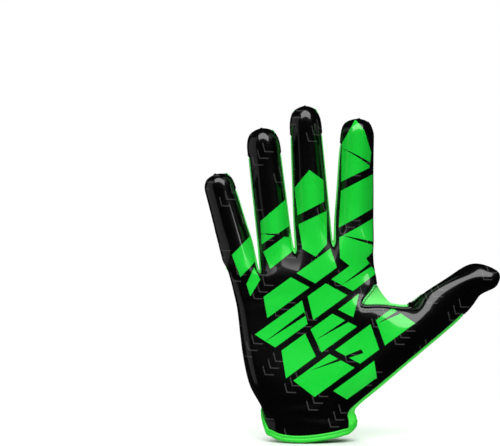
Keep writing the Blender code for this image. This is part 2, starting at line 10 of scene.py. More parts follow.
import bmesh
import bpy
import numpy as np
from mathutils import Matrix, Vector
from mathutils.bvhtree import BVHTree
from mathutils.kdtree import KDTree

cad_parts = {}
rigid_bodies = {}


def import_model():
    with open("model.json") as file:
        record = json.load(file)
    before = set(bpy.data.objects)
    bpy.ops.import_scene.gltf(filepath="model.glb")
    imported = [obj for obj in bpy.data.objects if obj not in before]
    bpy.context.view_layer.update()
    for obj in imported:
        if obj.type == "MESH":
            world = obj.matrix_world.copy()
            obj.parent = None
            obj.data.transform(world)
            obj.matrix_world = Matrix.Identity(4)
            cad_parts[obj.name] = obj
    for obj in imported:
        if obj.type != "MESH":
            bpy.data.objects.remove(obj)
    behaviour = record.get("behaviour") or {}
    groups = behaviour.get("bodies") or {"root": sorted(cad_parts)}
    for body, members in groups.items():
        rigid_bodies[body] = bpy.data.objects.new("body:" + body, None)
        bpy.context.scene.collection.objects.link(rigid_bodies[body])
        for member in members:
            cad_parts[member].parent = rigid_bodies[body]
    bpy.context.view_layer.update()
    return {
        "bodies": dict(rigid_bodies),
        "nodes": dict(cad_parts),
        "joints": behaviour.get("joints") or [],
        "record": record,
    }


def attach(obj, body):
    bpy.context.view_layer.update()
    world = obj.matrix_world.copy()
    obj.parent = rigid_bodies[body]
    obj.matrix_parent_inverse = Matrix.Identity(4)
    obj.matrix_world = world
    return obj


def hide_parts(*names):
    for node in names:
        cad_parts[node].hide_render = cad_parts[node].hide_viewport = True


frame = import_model()

# Camera
# It looks level at the palm through a long lens, from a little over a metre, so that the glove keeps its true
# outline. It stands to the little finger's side, because the glove is right of the picture's middle.
CAMERA_PLACE = (-0.0377, -1.2338, 0.1359)
bpy.ops.object.select_all(action="DESELECT")
bpy.ops.object.camera_add(location=CAMERA_PLACE, rotation=(math.radians(90), 0, 0))
camera = bpy.context.object
camera.name = "camera"
camera.data.lens = 135
camera.data.sensor_width = 36
bpy.context.scene.camera = camera

# Form
# The hand that fills the glove, as a last is to a shoe. It is one smooth skin through the points of the tables
# below, which are shares of the glove's sizes, and every panel is cut over it and sewn to its neighbours.
WRIST_WIDTH, WRIST_DEPTH = 0.0600, 0.0415
PALM_HEIGHT, PALM_DEPTH = 0.126, 0.030
PALM_HOLLOW, HOLLOW_MIDDLE, HOLLOW_REACH = 0.0025, (-0.05, 0.52), (0.62, 0.26)
WEB_REACH, CROTCH_GAP, KNUCKLE_SHIFT = 0.0583, 0.0006, -0.058
THUMB_LENGTH, THUMB_WIDTH, THUMB_DEPTH, THUMB_FORWARD = 0.064, 0.0200, 0.0190, 0.012
THUMB_LEAN, THUMB_HEIGHT = math.radians(35), 0.656
FINGERS = (
    # from the little finger: width, length, lean to the thumb's side in degrees, tip's width of the base's
    (0.0221, 0.0617, -15.8, 0.87),
    (0.0226, 0.0849, -6.7, 0.93),
    (0.0248, 0.0900, -3.9, 0.81),
    (0.0259, 0.0804, 2.2, 0.82),
)
BASE_HEIGHTS = (0.875, 0.850, 0.956, 0.994, 0.975)  # outer base, three crotches, outer base, of PALM_HEIGHT
FINGER_RINGS = (
    # height of the length, narrowing and curl of the whole, breadth at the front, breadth at the sides and back
    (0.17, 0.20, 0.03, 1.0, 0.955),
    (0.38, 0.45, 0.10, 1.0, 0.955),
    (0.61, 0.72, 0.28, 1.0, 0.955),
    (0.79, 0.95, 0.55, 1.0, 0.950),
    (0.905, 1.00, 0.80, 0.945, 0.870),
    (0.974, 1.00, 0.93, 0.64, 0.56),
)
FINGER_DEPTH, FINGER_CURL = 0.92, 0.055
PALM_SEAMS, BASE_SEAMS = (-58, 3, 64), (-68, 3, 74)  # degrees round a finger, in the palm and at its base
FRONT_SEAMS, SIDE_SEAMS, BACK_SEAMS = (-81, 2, 88), (-99, 101), (-126, 177, 122)
END_SEAMS = (-84, 2, 89, -98, 100, -121, 178, 118)
TIP_SEAMS = (-87, 2, 90, -98, 100, -118, 178, 116)
FINGER_CAP_RING, CAP_SLANT = 3, 0.055
STRIP_TAPER = 4  # the ring from which the palm's leather wraps to the middle of a strip
FOOT_TURN, FRONT_DROP, BACK_DROP, SIDE_DROP = 0.72, 0.018, 0.042, -0.006  # of the points round a finger's base
PALM_ROWS = (
    # little finger's height, thumb's height, spread, half breadths: little, inner, thumb; front, back, wrist
    (0.080, 0.028, 0.00, 0.975, 0.890, 1.050, 0.500, 0.500, 1.00),
    (0.140, 0.070, 0.04, 1.010, 0.880, 1.060, 0.490, 0.480, 1.00),
    (0.215, 0.115, 0.23, 1.040, 0.850, 0.985, 0.560, 0.510, 0.60),
    (0.341, 0.275, 0.47, 1.000, 1.000, 1.560, 0.610, 0.540, 0.25),
    (0.484, 0.460, 0.58, 1.000, 1.020, 1.650, 0.570, 0.530, 0.05),
    (0.619, 0.655, 0.66, 1.000, 0.905, 1.420, 0.510, 0.510, 0.00),
    (0.712, 0.757, 0.76, 1.000, 1.100, 1.155, 0.470, 0.480, 0.00),
    (0.795, 0.862, 0.87, 1.000, 1.020, 1.060, 0.435, 0.460, 0.00),
)
ROOT_LOW, ROOT_HIGH, CROTCH = 2, 5, 8  # rows where the thumb begins and ends, and where the fingers begin
ROUNDNESS = (2.0, 2.1, 2.3, 2.6, 2.7, 2.6, 2.5, 2.5)
LITTLE_MARGIN, WRIST_EVENNESS, SEAM_BLEND = 0.085, 0.35, 1.25
HEM_BACK, HEM_FRONT, HEM_ROW = (0.082, 0.030), (-0.060, -0.018), 0.062
THUMB_SEAM = ((0.520, 0.112), (0.720, 0.268), (0.885, 0.430), (0.900, 0.565))
WEB, WEB_DIP, THUMB_ROOT = (0.889, 0.684), 0.14, 0.40
THUMB_RINGS = (
    # outer along, across, inner along, across, depth, forward
    (-0.190, -1.800, 0.113, -0.230, 1.520, 0.12),
    (0.500, -1.550, 0.290, -0.200, 1.230, 0.50),
    (0.748, -1.300, 0.600, -0.220, 1.110, 0.80),
    (0.905, -1.360, 0.862, -0.300, 0.960, 0.96),
)
THUMB_TIP, THUMB_TIP_HALF, THUMB_CAP_RING = (1.018, -1.020), 0.17, 2
THUMB_FRONT, THUMB_BACK = (28, 72, 112, 150), (30, 72, 112, 148)  # degrees round the thumb
PALM, BACK, THUMB, GUSSET, THUMB_CAP, INDEX_CAP, LITTLE_CAP, STRIP = range(8)  # STRIP to STRIP + 2
COLUMNS = [(finger, seam) for finger in range(4) for seam in range(3)]

points, number, quads, owners = [], {}, [], []


def mix(a, b, share):
    return a + (b - a) * share


def put(key, place):
    number[key] = len(points)
    points.append(np.array(place, dtype=float))


def sew(panel, *keys):
    quads.append([number[key] for key in keys])
    owners.append(panel)


def leaning(finger, side, up):
    """Across and up in the glove, for a place to the side of a finger's middle line and up along it."""
    middle, low, high = bases[finger]
    lean = math.radians(FINGERS[finger][2])
    return (
        middle + math.cos(lean) * side + math.sin(lean) * up,
        (low + high) / 2 - math.sin(lean) * side + math.cos(lean) * up,
    )


def finger_place(finger, angle, along, narrowing, curl, rounding=1.0, slant=0.0):
    width, length, _, tip = FINGERS[finger]
    turn, wide = math.radians(angle), width * mix(1.0, tip, narrowing) * rounding
    x, z = leaning(finger, math.sin(turn) * wide / 2, length * (along + slant * math.sin(turn)))
    return x, -math.cos(turn) * wide * FINGER_DEPTH / 2 - FINGER_CURL * length * curl, z


def base_place(finger, angle, drop):
    middle, low, high = bases[finger]
    across = math.sin(math.radians(angle))
    depth = finger_place(finger, angle * (FOOT_TURN if abs(angle) < 80 else 1.0), 0, 0, 0)[1]
    return middle + across * FINGERS[finger][0] / 2, depth, mix(low, high, (across + 1) / 2) - drop * PALM_HEIGHT


def breadth(spread, side):
    return mix(WRIST_WIDTH / 2, -knuckles[0] if side < 0 else knuckles[1], spread)


def hem_height(across, sign):
    share = (across + 1) / 2
    side = mix(*HEM_BACK, share) * PALM_HEIGHT
    if sign > 0:
        return side
    return mix(side, mix(*HEM_FRONT, share) * PALM_HEIGHT, max(0.0, 1 - across**2) ** 0.3)


def palm_place(row, share, sign):
    little_z, thumb_z, spread, little, inner, thumb, front, back, wrist = PALM_ROWS[row]
    low, high = -little * breadth(spread, -1), thumb * breadth(spread, 1)
    half = (high - low) / 2
    x = mix(low + LITTLE_MARGIN * half, inner * breadth(spread, 1), share)
    across = max(-1.0, min(1.0, (x - low) / half - 1))
    bulge = (front if sign < 0 else back) * mix(PALM_DEPTH, WRIST_DEPTH, wrist)
    y = sign * bulge * (1 - abs(across) ** ROUNDNESS[row]) ** (1 / ROUNDNESS[row])
    z = mix(little_z, thumb_z, share) * PALM_HEIGHT
    if row == 0:
        z = hem_height(across, sign)
    if row == 1:
        z = mix(z, hem_height(across, sign) + HEM_ROW * PALM_HEIGHT, 0.5)
    if sign < 0:
        away = zip((x / knuckles[1], z / PALM_HEIGHT), HOLLOW_MIDDLE, HOLLOW_REACH)
        y += PALM_HOLLOW * math.exp(-sum(((at - middle) / reach) ** 2 for at, middle, reach in away))
    return [x, y, z]


def thumb_place(along, across, depth):
    along, across = along * THUMB_LENGTH, across * THUMB_WIDTH
    x = WEB_REACH + math.cos(THUMB_LEAN) * along - math.sin(THUMB_LEAN) * across
    return x, -depth, THUMB_HEIGHT * PALM_HEIGHT + math.sin(THUMB_LEAN) * along + math.cos(THUMB_LEAN) * across


def finger_keys(finger, ring):
    """The points round a finger: three on the front, two at the sides and three on the back."""
    names = ("front", "back") if ring == 0 else ("finger", "finger_back")
    place = (CROTCH, finger) if ring == 0 else (finger, ring)
    front, back = ([(name, *place, seam) for seam in range(3)] for name in names)
    return [*front, ("side", finger, ring, 0), ("side", finger, ring, 1), *back]


def finger_ring(finger, ring):
    """The same points in their order round the finger, from the little finger's side by the front to the back."""
    keys = finger_keys(finger, ring)
    return [keys[place] for place in (3, 0, 1, 2, 4, 7, 6, 5)]


def thumb_ring(ring):
    """The ten points round the thumb, from its outer edge by the front to the back."""
    if ring == "root":
        rows = range(ROOT_LOW, ROOT_HIGH + 1)
        front, back = ([(name, row, *COLUMNS[-1]) for row in rows] for name in ("front", "back"))
        return [("thumb_side", ROOT_LOW), *front, ("thumb_side", ROOT_HIGH), *reversed(back)]
    front, back = ([(name, ring, step) for step in range(4)] for name in ("thumb", "thumb_back"))
    return [("thumb_outer", ring), *front, ("thumb_inner", ring), *reversed(back)]


hand_breadth = sum(finger[0] for finger in FINGERS) + CROTCH_GAP * 3
left = hand_breadth * (KNUCKLE_SHIFT - 0.5)
knuckles = (left, left + hand_breadth)
bases = []
for order, (width, _, _, _) in enumerate(FINGERS):
    bases.append((left + width / 2, BASE_HEIGHTS[order] * PALM_HEIGHT, BASE_HEIGHTS[order + 1] * PALM_HEIGHT))
    left += width + CROTCH_GAP
for row in range(CROTCH):
    blend = min(1.0, row / (CROTCH - 1) * SEAM_BLEND)
    for sign, name, angles in ((-1, "front", PALM_SEAMS), (1, "back", BACK_SEAMS)):
        shares = [
            (bases[f][0] + math.sin(math.radians(angles[s])) * FINGERS[f][0] / 2 - knuckles[0]) / hand_breadth
            for f, s in COLUMNS
        ]
        for order, column in enumerate(COLUMNS):
            even = order / (len(COLUMNS) - 1)
            wrist = mix(0.5 - 0.5 * math.cos(math.pi * even), even, WRIST_EVENNESS)
            share = mix(wrist, (shares[order] - shares[0]) / (shares[-1] - shares[0]), blend)
            place = palm_place(row, share, sign)
            if sign > 0 and ROOT_LOW <= row <= ROOT_HIGH:
                seam_x, seam_z = THUMB_SEAM[row - ROOT_LOW]
                edge = palm_place(row, 1.0, sign)
                place[0] += (seam_x * WEB_REACH - edge[0]) * share**3
                place[2] += (seam_z * PALM_HEIGHT - edge[2]) * share**3
            put((name, row, *column), place)
    little_z, thumb_z, spread, little, _, thumb = PALM_ROWS[row][:6]
    put(("little_side", row), (-little * breadth(spread, -1), 0, little_z * PALM_HEIGHT))
    if row == ROOT_HIGH:
        put(("thumb_side", row), (WEB[0] * WEB_REACH, 0, WEB[1] * PALM_HEIGHT))
    elif not ROOT_LOW < row < ROOT_HIGH:
        put(("thumb_side", row), (thumb * breadth(spread, 1), 0, thumb_z * PALM_HEIGHT))
for finger in range(4):
    for seam in range(3):
        outer = seam != 1
        put(("front", CROTCH, finger, seam), base_place(finger, BASE_SEAMS[seam], FRONT_DROP * outer))
        put(("back", CROTCH, finger, seam), base_place(finger, BACK_SEAMS[seam], BACK_DROP * outer))
    for side in range(2):
        outer = (finger, side) in ((0, 0), (3, 1))
        put(("side", finger, 0, side), base_place(finger, SIDE_SEAMS[side], 0.0 if outer else SIDE_DROP))
    for ring, (along, narrowing, curl, rounding, sides) in enumerate(FINGER_RINGS, start=1):
        angles = {5: END_SEAMS, 6: TIP_SEAMS}.get(ring, (*FRONT_SEAMS, *SIDE_SEAMS, *BACK_SEAMS))
        slant = {0: CAP_SLANT, 3: -CAP_SLANT}.get(finger, 0.0) if ring == FINGER_CAP_RING else 0.0
        for place, (key, angle) in enumerate(zip(finger_keys(finger, ring), angles)):
            share = rounding if place in (0, 1, 2, 6) else sides
            put(key, finger_place(finger, angle, along, narrowing, curl, share, slant))
    put(("tip", finger), finger_place(finger, 0, 1.0, 1.0, 1.0, 0.0))
number["little_side", CROTCH], number["thumb_side", CROTCH] = number["side", 0, 0, 0], number["side", 3, 0, 1]
for ring, row in enumerate(THUMB_RINGS, start=1):
    outer_along, outer_across, inner_along, inner_across, depth, forward = row
    outer = np.array(thumb_place(outer_along, outer_across, forward * THUMB_FORWARD))
    inner = np.array(thumb_place(inner_along, inner_across, forward * THUMB_FORWARD))
    put(("thumb_outer", ring), outer)
    put(("thumb_inner", ring), inner)
    for sign, name, angles in ((-1, "thumb", THUMB_FRONT), (1, "thumb_back", THUMB_BACK)):
        for step, angle in enumerate(angles):
            place = mix(outer, inner, (1 - math.cos(math.radians(angle))) / 2)
            place[1] += sign * math.sin(math.radians(angle)) * depth * THUMB_DEPTH / 2
            put((name, ring, step), place)
for root, key, first in zip(thumb_ring("root"), thumb_ring(0), thumb_ring(1)):
    place = mix(points[number[root]], points[number[first]], THUMB_ROOT)
    place[2] -= WEB_DIP * THUMB_WIDTH if key[0] == "thumb_inner" else 0.0
    put(key, place)
for step, shift in enumerate((-THUMB_TIP_HALF, THUMB_TIP_HALF)):
    put(("thumb_tip", step), thumb_place(THUMB_TIP[0], THUMB_TIP[1] + shift, THUMB_FORWARD))

# The faces of each panel between the points
for row in range(CROTCH):
    for here, there in zip(COLUMNS, COLUMNS[1:]):
        front = [("front", level, *column) for level in (row, row + 1) for column in (here, there)]
        back = [("back", level, *column) for level in (row, row + 1) for column in (here, there)]
        sew(PALM, front[0], front[1], front[3], front[2])
        sew(BACK, back[1], back[0], back[2], back[3])
    thumb_panels = (THUMB, THUMB) if row < ROOT_LOW else (GUSSET, GUSSET) if row == ROOT_HIGH else (PALM, BACK)
    sides = [("little_side", PALM, BACK, COLUMNS[0], 1), ("thumb_side", *thumb_panels, COLUMNS[-1], -1)]
    for side, front_panel, back_panel, column, turn in sides[:1] if ROOT_LOW <= row < ROOT_HIGH else sides:
        front, back = ([(name, row, *column), (name, row + 1, *column)] for name in ("front", "back"))
        edge = [(side, row), (side, row + 1)]
        for panel, first, second in ((front_panel, edge, front), (back_panel, back, edge)):
            first, second = (first, second) if turn > 0 else (second, first)
            sew(panel, first[0], second[0], second[1], first[1])
for finger in range(4):
    cap = {0: LITTLE_CAP, 3: INDEX_CAP}.get(finger, BACK)
    before, after = (STRIP + finger - 1 if finger else None), (STRIP + finger if finger < 3 else None)
    for ring in range(len(FINGER_RINGS)):
        back = cap if ring >= FINGER_CAP_RING else BACK
        full = ring < STRIP_TAPER
        panels = (full and before or PALM, PALM, PALM, full and after or PALM)
        panels += (after or back, back, back, before or back)
        low, high = finger_ring(finger, ring), finger_ring(finger, ring + 1)
        for place, panel in enumerate(panels):
            follow = (place + 1) % 8
            sew(panel, low[place], low[follow], high[follow], high[place])
    rim, tip = finger_ring(finger, len(FINGER_RINGS)), ("tip", finger)
    sew(PALM, rim[0], rim[1], rim[2], tip)
    sew(PALM, tip, rim[2], rim[3], rim[4])
    sew(cap, tip, rim[4], rim[5], rim[6])
    sew(cap, rim[0], tip, rim[6], rim[7])
    if finger < 3:
        low, high = ("side", finger, 0, 1), ("side", finger + 1, 0, 0)
        sew(STRIP + finger, ("front", CROTCH, finger, 2), ("front", CROTCH, finger + 1, 0), high, low)
        sew(STRIP + finger, low, high, ("back", CROTCH, finger + 1, 0), ("back", CROTCH, finger, 2))
for ring, near, far in zip(range(-1, 4), ("root", 0, 1, 2, 3), range(5)):
    near, far = thumb_ring(near), thumb_ring(far)
    capped = ring >= THUMB_CAP_RING
    back, outer = (THUMB_CAP, PALM) if capped else (THUMB, THUMB)
    inner = (GUSSET if ring < 1 else PALM, back if capped else GUSSET)
    for place, panel in enumerate((outer, PALM, PALM, PALM, *inner, back, back, back, back)):
        follow = (place + 1) % 10
        sew(panel, near[place], far[place], far[follow], near[follow])
rim, low, high = thumb_ring(4), ("thumb_tip", 0), ("thumb_tip", 1)
for keys in ((rim[0], low, rim[2], rim[1]), (low, high, rim[3], rim[2]), (high, rim[5], rim[4], rim[3])):
    sew(PALM, *keys)
for keys in ((rim[0], rim[9], rim[8], low), (low, rim[8], rim[7], high), (high, rim[7], rim[6], rim[5])):
    sew(THUMB_CAP, *keys)

# Subdivision draws a surface inside its cage, so the cage is solved for the one whose surface meets the points
ties, across = [{} for _ in points], [[] for _ in points]
for a, b, c, d in quads:
    for before, here, after, far in ((d, a, b, c), (a, b, c, d), (b, c, d, a), (c, d, a, b)):
        across[here].append(far)
        for other in (before, after):
            ties[here][other] = ties[here].get(other, 0) + 1
weights = np.zeros((len(points), len(points)))
for here, near in enumerate(ties):
    rim = [other for other, uses in near.items() if uses == 1]
    total = len(near) * (len(near) + 5)
    weights[here, here] = 4 / 6 if rim else len(near) ** 2 / total
    for other in rim or near:
        weights[here, other] += 1 / 6 if rim else 4 / total
    for other in [] if rim else across[here]:
        weights[here, other] += 1 / total
cage = np.linalg.solve(weights, np.array(points))

last_mesh = bpy.data.meshes.new("last")
last_mesh.from_pydata([tuple(place) for place in cage], [], quads)
for panel in range(STRIP + 3):
    last_mesh.materials.append(None)
last_mesh.polygons.foreach_set("material_index", owners)
last = bpy.data.objects.new("last", last_mesh)
bpy.context.scene.collection.objects.link(last)
bpy.context.view_layer.objects.active = last
smoother = last.modifiers.new("smooth", "SUBSURF")
smoother.levels = smoother.render_levels = 3
smoother.use_limit_surface = True
bpy.ops.object.modifier_apply(modifier="smooth")

# Soft folds and dents, pressed into the form so that every piece over it shares them: the side (-1 palm, 1 back),
# place across and up, turn in degrees, half length, half width and depth in millimetres
FOLDS = (
    (-1, -6, 19, 8, 30, 3.5, 0.45), (-1, 2, 10, -6, 24, 2.6, 0.40), (-1, 20, 30, 58, 20, 3.5, 0.40),
    (-1, 30, 52, 66, 18, 4.0, 0.30), (-1, -20, 88, 12, 26, 4.0, 0.25), (-1, 62, 62, 120, 9, 2.5, 0.30),
    (-1, 84, 76, 122, 9, 2.2, 0.30),
    (1, 26, 26, 52, 16, 3.2, 1.05), (1, 16, 40, 38, 20, 4.5, 1.10), (1, 34, 44, 60, 14, 3.0, 0.90),
    (1, 8, 58, 22, 26, 5.0, 0.80), (1, 20, 16, -14, 14, 2.5, 0.80), (1, -30, 52, -30, 18, 4.5, 0.75),
    (1, 58, 60, 118, 12, 3.0, 1.00), (1, 68, 72, 122, 11, 2.6, 0.90), (1, 46, 52, 60, 10, 2.6, 0.90),
    (1, -26, 145, -8, 9, 3.0, 1.30), (1, -25, 138, 8, 9, 2.4, 0.85), (1, -1, 152, 0, 10, 3.0, 0.55),
    (1, 31, 152, -6, 10, 3.0, 0.50), (1, -55, 132, -20, 9, 2.6, 0.50), (1, -14, 112, 80, 9, 3.0, 0.45),
    (1, 9, 118, 96, 9, 3.0, 0.45), (1, -33, 100, 70, 8, 2.6, 0.45), (1, 2, 84, -12, 22, 6.0, 0.50),
)
count = len(last.data.vertices)
skin, facing = np.empty(count * 3), np.empty(count * 3)
last.data.vertices.foreach_get("co", skin)
last.data.vertices.foreach_get("normal", facing)
skin, facing = skin.reshape(-1, 3), facing.reshape(-1, 3)
press = np.zeros(count)
for side, x, z, turn, length, width, depth in FOLDS:
    turn = math.radians(turn)
    right, up = skin[:, 0] * 1000 - x, skin[:, 2] * 1000 - z
    along = (right * math.cos(turn) + up * math.sin(turn)) / length
    off = (up * math.cos(turn) - right * math.sin(turn)) / width + 0.25 * along**2
    seen = np.clip((side * facing[:, 1] + 0.15) / 0.6, 0, 1)
    press += depth * seen * np.exp(-(along**2)) * (1 - 1.6 * off**2) * np.exp(-(off**2))
skin = skin - facing * (press * 0.001)[:, None]
last.data.vertices.foreach_set("co", skin.ravel())
last.data.update()
facing = np.array([tuple(vertex.normal) for vertex in last.data.vertices])
corners = np.array([tuple(face.vertices) for face in last.data.polygons])
owner = np.array([face.material_index for face in last.data.polygons])
surface = BVHTree.FromPolygons([Vector(place) for place in skin], [list(face) for face in corners])
last.hide_render = True

# Where panels meet, which every seam, stitch and trim below follows
centres = skin[corners].mean(axis=1)
meeting = {}
for loop, panel in zip(corners.tolist(), owner.tolist()):
    for start, end in zip(loop, loop[1:] + loop[:1]):
        meeting.setdefault((min(start, end), max(start, end)), []).append(panel)


def search_tree(places):
    """A tree that finds the nearest of some places, each given after its index."""
    tree = KDTree(len(places))
    for index, place in places:
        tree.insert(Vector(place), index)
    tree.balance()
    return tree


seam_points = sorted({vertex for edge, panels in meeting.items() if panels.count(panels[0]) == 1 for vertex in edge})
seam_tree = search_tree([(vertex, skin[vertex]) for vertex in seam_points])


# Palm panel
# One piece of coated grip leather covers the palm, the fingers' fronts and the thumb's front. It is cut over the
# form with the leather's thickness towards the hand, printed with green shards, and turned down into its seams.
PALM_WALL, EDGE_TURN, EDGE_ROLL, EDGE_TRIM = 0.0013, 0.00042, 0.0013, 0.00010


class Tone:
    """A socket of a finish. Sums, products and comparisons of tones add their own nodes."""

    def __init__(self, finish, socket):
        self.finish, self.socket = finish, socket

    def maths(self, operation, *others):
        return self.finish.add("ShaderNodeMath", {"operation": operation}, dict(enumerate((self, *others))))

    def __add__(self, other):
        return self.maths("ADD", other)

    def __sub__(self, other):
        return self.maths("SUBTRACT", other)

    def __mul__(self, other):
        return self.maths("MULTIPLY", other)

    def __rsub__(self, other):
        return self * -1 + other

    def __lt__(self, other):
        return self.maths("LESS_THAN", other)

    def __abs__(self):
        return self.maths("ABSOLUTE")

    __radd__, __rmul__ = __add__, __mul__


class Finish:
    """A piece's material: numbers and tones set on its shader, where a tone changes over the surface."""

    def __init__(self, name, **values):
        self.material = bpy.data.materials.new(name)
        self.material.use_nodes = True
        self.tree = self.material.node_tree
        self.shader = self.tree.nodes["Principled BSDF"]
        self.place = self.add("ShaderNodeTexCoord", {}, {}, "Object")
        self.set(**values)

    def set(self, **values):
        for key, value in values.items():
            self.join(value, self.shader.inputs[key.replace("_", " ").title().replace("Ior", "IOR")])

    def join(self, value, socket):
        if isinstance(value, Tone):
            self.tree.links.new(value.socket, socket)
        else:
            socket.default_value = (*value, 1.0) if isinstance(value, tuple) and socket.type == "RGBA" else value

    def add(self, kind, settings, sockets, out=0):
        node = self.tree.nodes.new(kind)
        for key, value in settings.items():
            setattr(node, key, value)
        for key, value in sockets.items():
            self.join(value, node.inputs[key])
        return Tone(self, node.outputs[out])

    def axis(self, name):
        return self.add("ShaderNodeSeparateXYZ", {}, {0: self.place}, name)

    def noise(self, scale, detail=2.0):
        return self.add("ShaderNodeTexNoise", {}, {"Vector": self.place, "Scale": scale, "Detail": detail})

    def grain(self, scale):
        sockets = {"Vector": self.place, "Scale": scale}
        return self.add("ShaderNodeTexVoronoi", {"feature": "SMOOTH_F1"}, sockets, "Distance")

    def wave(self, direction, scale, distortion, detail=2.0):
        sockets = {"Vector": self.place, "Scale": scale, "Distortion": distortion, "Detail": detail}
        return self.add("ShaderNodeTexWave", {"bands_direction": direction}, sockets)

    def own(self, name):
        return self.add("ShaderNodeAttribute", {"attribute_name": name}, {}, "Fac")

    def rise(self, tone, low, high):
        """0 below one value of a tone and 1 above another."""
        return self.add("ShaderNodeMapRange", {}, {"Value": tone, "From Min": low, "From Max": high})

    def blend(self, share, first, second):
        return self.add("ShaderNodeMix", {"data_type": "RGBA"}, {0: share, 6: first, 7: second}, 2)

    def raised(self, height, distance, strength=1.0):
        bump = self.add("ShaderNodeBump", {}, {"Height": height, "Distance": distance, "Strength": strength})
        self.set(normal=bump)


def finish_piece(piece, finish, slot, *nodes):
    piece.data.materials.clear()
    piece.data.materials.append(finish.material)
    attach(piece, "root")
    if nodes:
        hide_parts(*nodes)


def new_piece(name, mesh, sharp=48):
    piece = bpy.data.objects.new(name, mesh)
    bpy.context.scene.collection.objects.link(piece)
    bpy.ops.object.select_all(action="DESELECT")
    piece.select_set(True)
    bpy.context.view_layer.objects.active = piece
    bpy.ops.object.shade_smooth_by_angle(angle=math.radians(sharp))
    return piece


def cut_panel(name, panel, wall, work_over=None, sunk=0.0):
    """The part of the form that a panel covers, as leather or cloth with its edge turned down all round."""
    faces = corners[owner == panel].tolist()
    uses = {}
    for loop in faces:
        for start, end in zip(loop, loop[1:] + loop[:1]):
            uses.setdefault((min(start, end), max(start, end)), []).append((start, end))
    rim = [pairs[0] for pairs in uses.values() if len(pairs) == 1]
    pulls = {}
    for start, end in rim:
        pull = np.cross(facing[start] + facing[end], skin[end] - skin[start])
        for vertex in (start, end):
            pulls.setdefault(vertex, []).append(pull / np.linalg.norm(pull))
    trim = {}
    for vertex, several in pulls.items():
        total = sum(several)
        trim[vertex] = total * (EDGE_TRIM * len(several) / max(total @ total, 0.5))
    edge_tree = search_tree([(vertex, skin[vertex]) for vertex in trim])
    work = bmesh.new()
    seam, inside = work.verts.layers.float.new("seam"), work.verts.layers.float.new("inside")
    outer, inner = {}, {}
    for vertex in sorted({vertex for loop in faces for vertex in loop}):
        away = edge_tree.find(Vector(skin[vertex]))[2]
        turned = sunk + EDGE_TURN * max(0.0, 1 - away / EDGE_ROLL) ** 1.6
        place = skin[vertex] + trim.get(vertex, 0.0)
        outer[vertex] = work.verts.new(place - facing[vertex] * turned)
        inner[vertex] = work.verts.new(place - facing[vertex] * (wall + sunk))
        outer[vertex][seam] = inner[vertex][seam] = away * 1000
        inner[vertex][inside] = 1.0
    covered = [work.faces.new([outer[vertex] for vertex in loop]) for loop in faces]
    for loop in faces:
        work.faces.new([inner[vertex] for vertex in reversed(loop)])
    for start, end in rim:
        work.faces.new((outer[end], outer[start], inner[start], inner[end]))
    if work_over:
        work_over(work, covered, panel)
    mesh = bpy.data.meshes.new(name)
    work.to_mesh(mesh)
    work.free()
    return new_piece(name, mesh)


SHARDS = (
    # corners of each printed shard, across and up the palm in millimetres
    ((22.5, 188), (22, 163), (40.5, 172), (41.8, 182), (37, 196), (31, 203.5)),
    ((21.8, 157), (20.5, 133), (43, 145.5), (43, 168)),
    ((20.6, 126.5), (21, 113), (31, 105), (42.5, 117), (43.2, 139)),
    ((-8.5, 159), (-6.5, 141), (11, 150), (10.3, 164), (1, 170.5)),
    ((-6, 135), (-3.5, 119), (5, 114), (12.5, 122), (12.8, 144)),
    ((-31, 137), (-30, 122), (-12, 134), (-13.5, 152)),
    ((-29, 117), (-24.5, 106), (-8, 119), (-11, 130)),
    ((-49.5, 115), (-44, 100.5), (-33, 112), (-37, 128)),
    ((-40, 96), (-37.5, 88), (-31, 99), (-35, 107)),
    ((-26.4, 74.0), (-28.9, 87.7), (-11.1, 100.6), (1.1, 94.0)),
    ((4.8, 96.6), (-7.4, 103.2), (14.9, 119.3), (18.9, 106.9)),
    ((-21.3, 55.0), (-34.6, 63.2), (-3.8, 85.5), (-0.2, 70.2)),
    ((3.5, 72.8), (-0.2, 88.1), (11.6, 96.6), (25.7, 88.9)),
    ((29.4, 91.6), (15.2, 99.2), (36.7, 114.8), (45.2, 103.0)),
    ((-14.4, 35.2), (-17.3, 52.9), (-1.9, 64.0), (5.0, 49.3)),
    ((8.7, 51.9), (1.7, 66.7), (15.9, 76.9), (31.8, 68.6)),
    ((29.5, 74.5), (19.6, 79.6), (33.5, 90), (31.5, 82.5)),
    ((4.1, 23.3), (-9.6, 33.8), (13.9, 50.8), (30.0, 42.1)),
    ((33.7, 44.7), (17.5, 53.4), (40.6, 70.1), (46.2, 53.8)),
    ((49.9, 56.4), (44.2, 72.7), (55.2, 80.6), (69.7, 70.8)),
    ((25.3, 21.4), (16.2, 27.1), (42.9, 46.5), (44.7, 35.4)),
)
CRACKS = (
    # corners of the thin black cracks across them
    ((21, 186), (44, 171.5), (44, 174)),
    ((-32, 129), (-12, 126.5), (-12, 129)),
    ((20, 128.5), (44, 121), (44, 123.5)),
    ((0.8, 40), (36, 51.5), (34.5, 54)),
    ((4.5, 59.5), (30, 73.5), (28.5, 75.5)),
    ((-29, 58), (-1.5, 75.5), (-2.5, 78)),
    ((45, 70.5), (62, 77.5), (60, 79.5)),
    ((22, 95.5), (43, 108), (42, 110.5)),
)
PRINT_WAY, PRINT_CELL, PRINT_SLANT = (0.62, 0.78), (34, 18), 0.75  # of the small grey bars, in millimetres
BAR_PITCH, BAR_SHARE, BAR_REACH = 5.5, 0.17, (8.2, 4.6)
FLEX_DEPTH, FLEX_DROP, FLEX_REACH, FLEX_FADE, FLEX_WEAR = 0.009, 0.003, 0.0150, 0.0070, 0.88


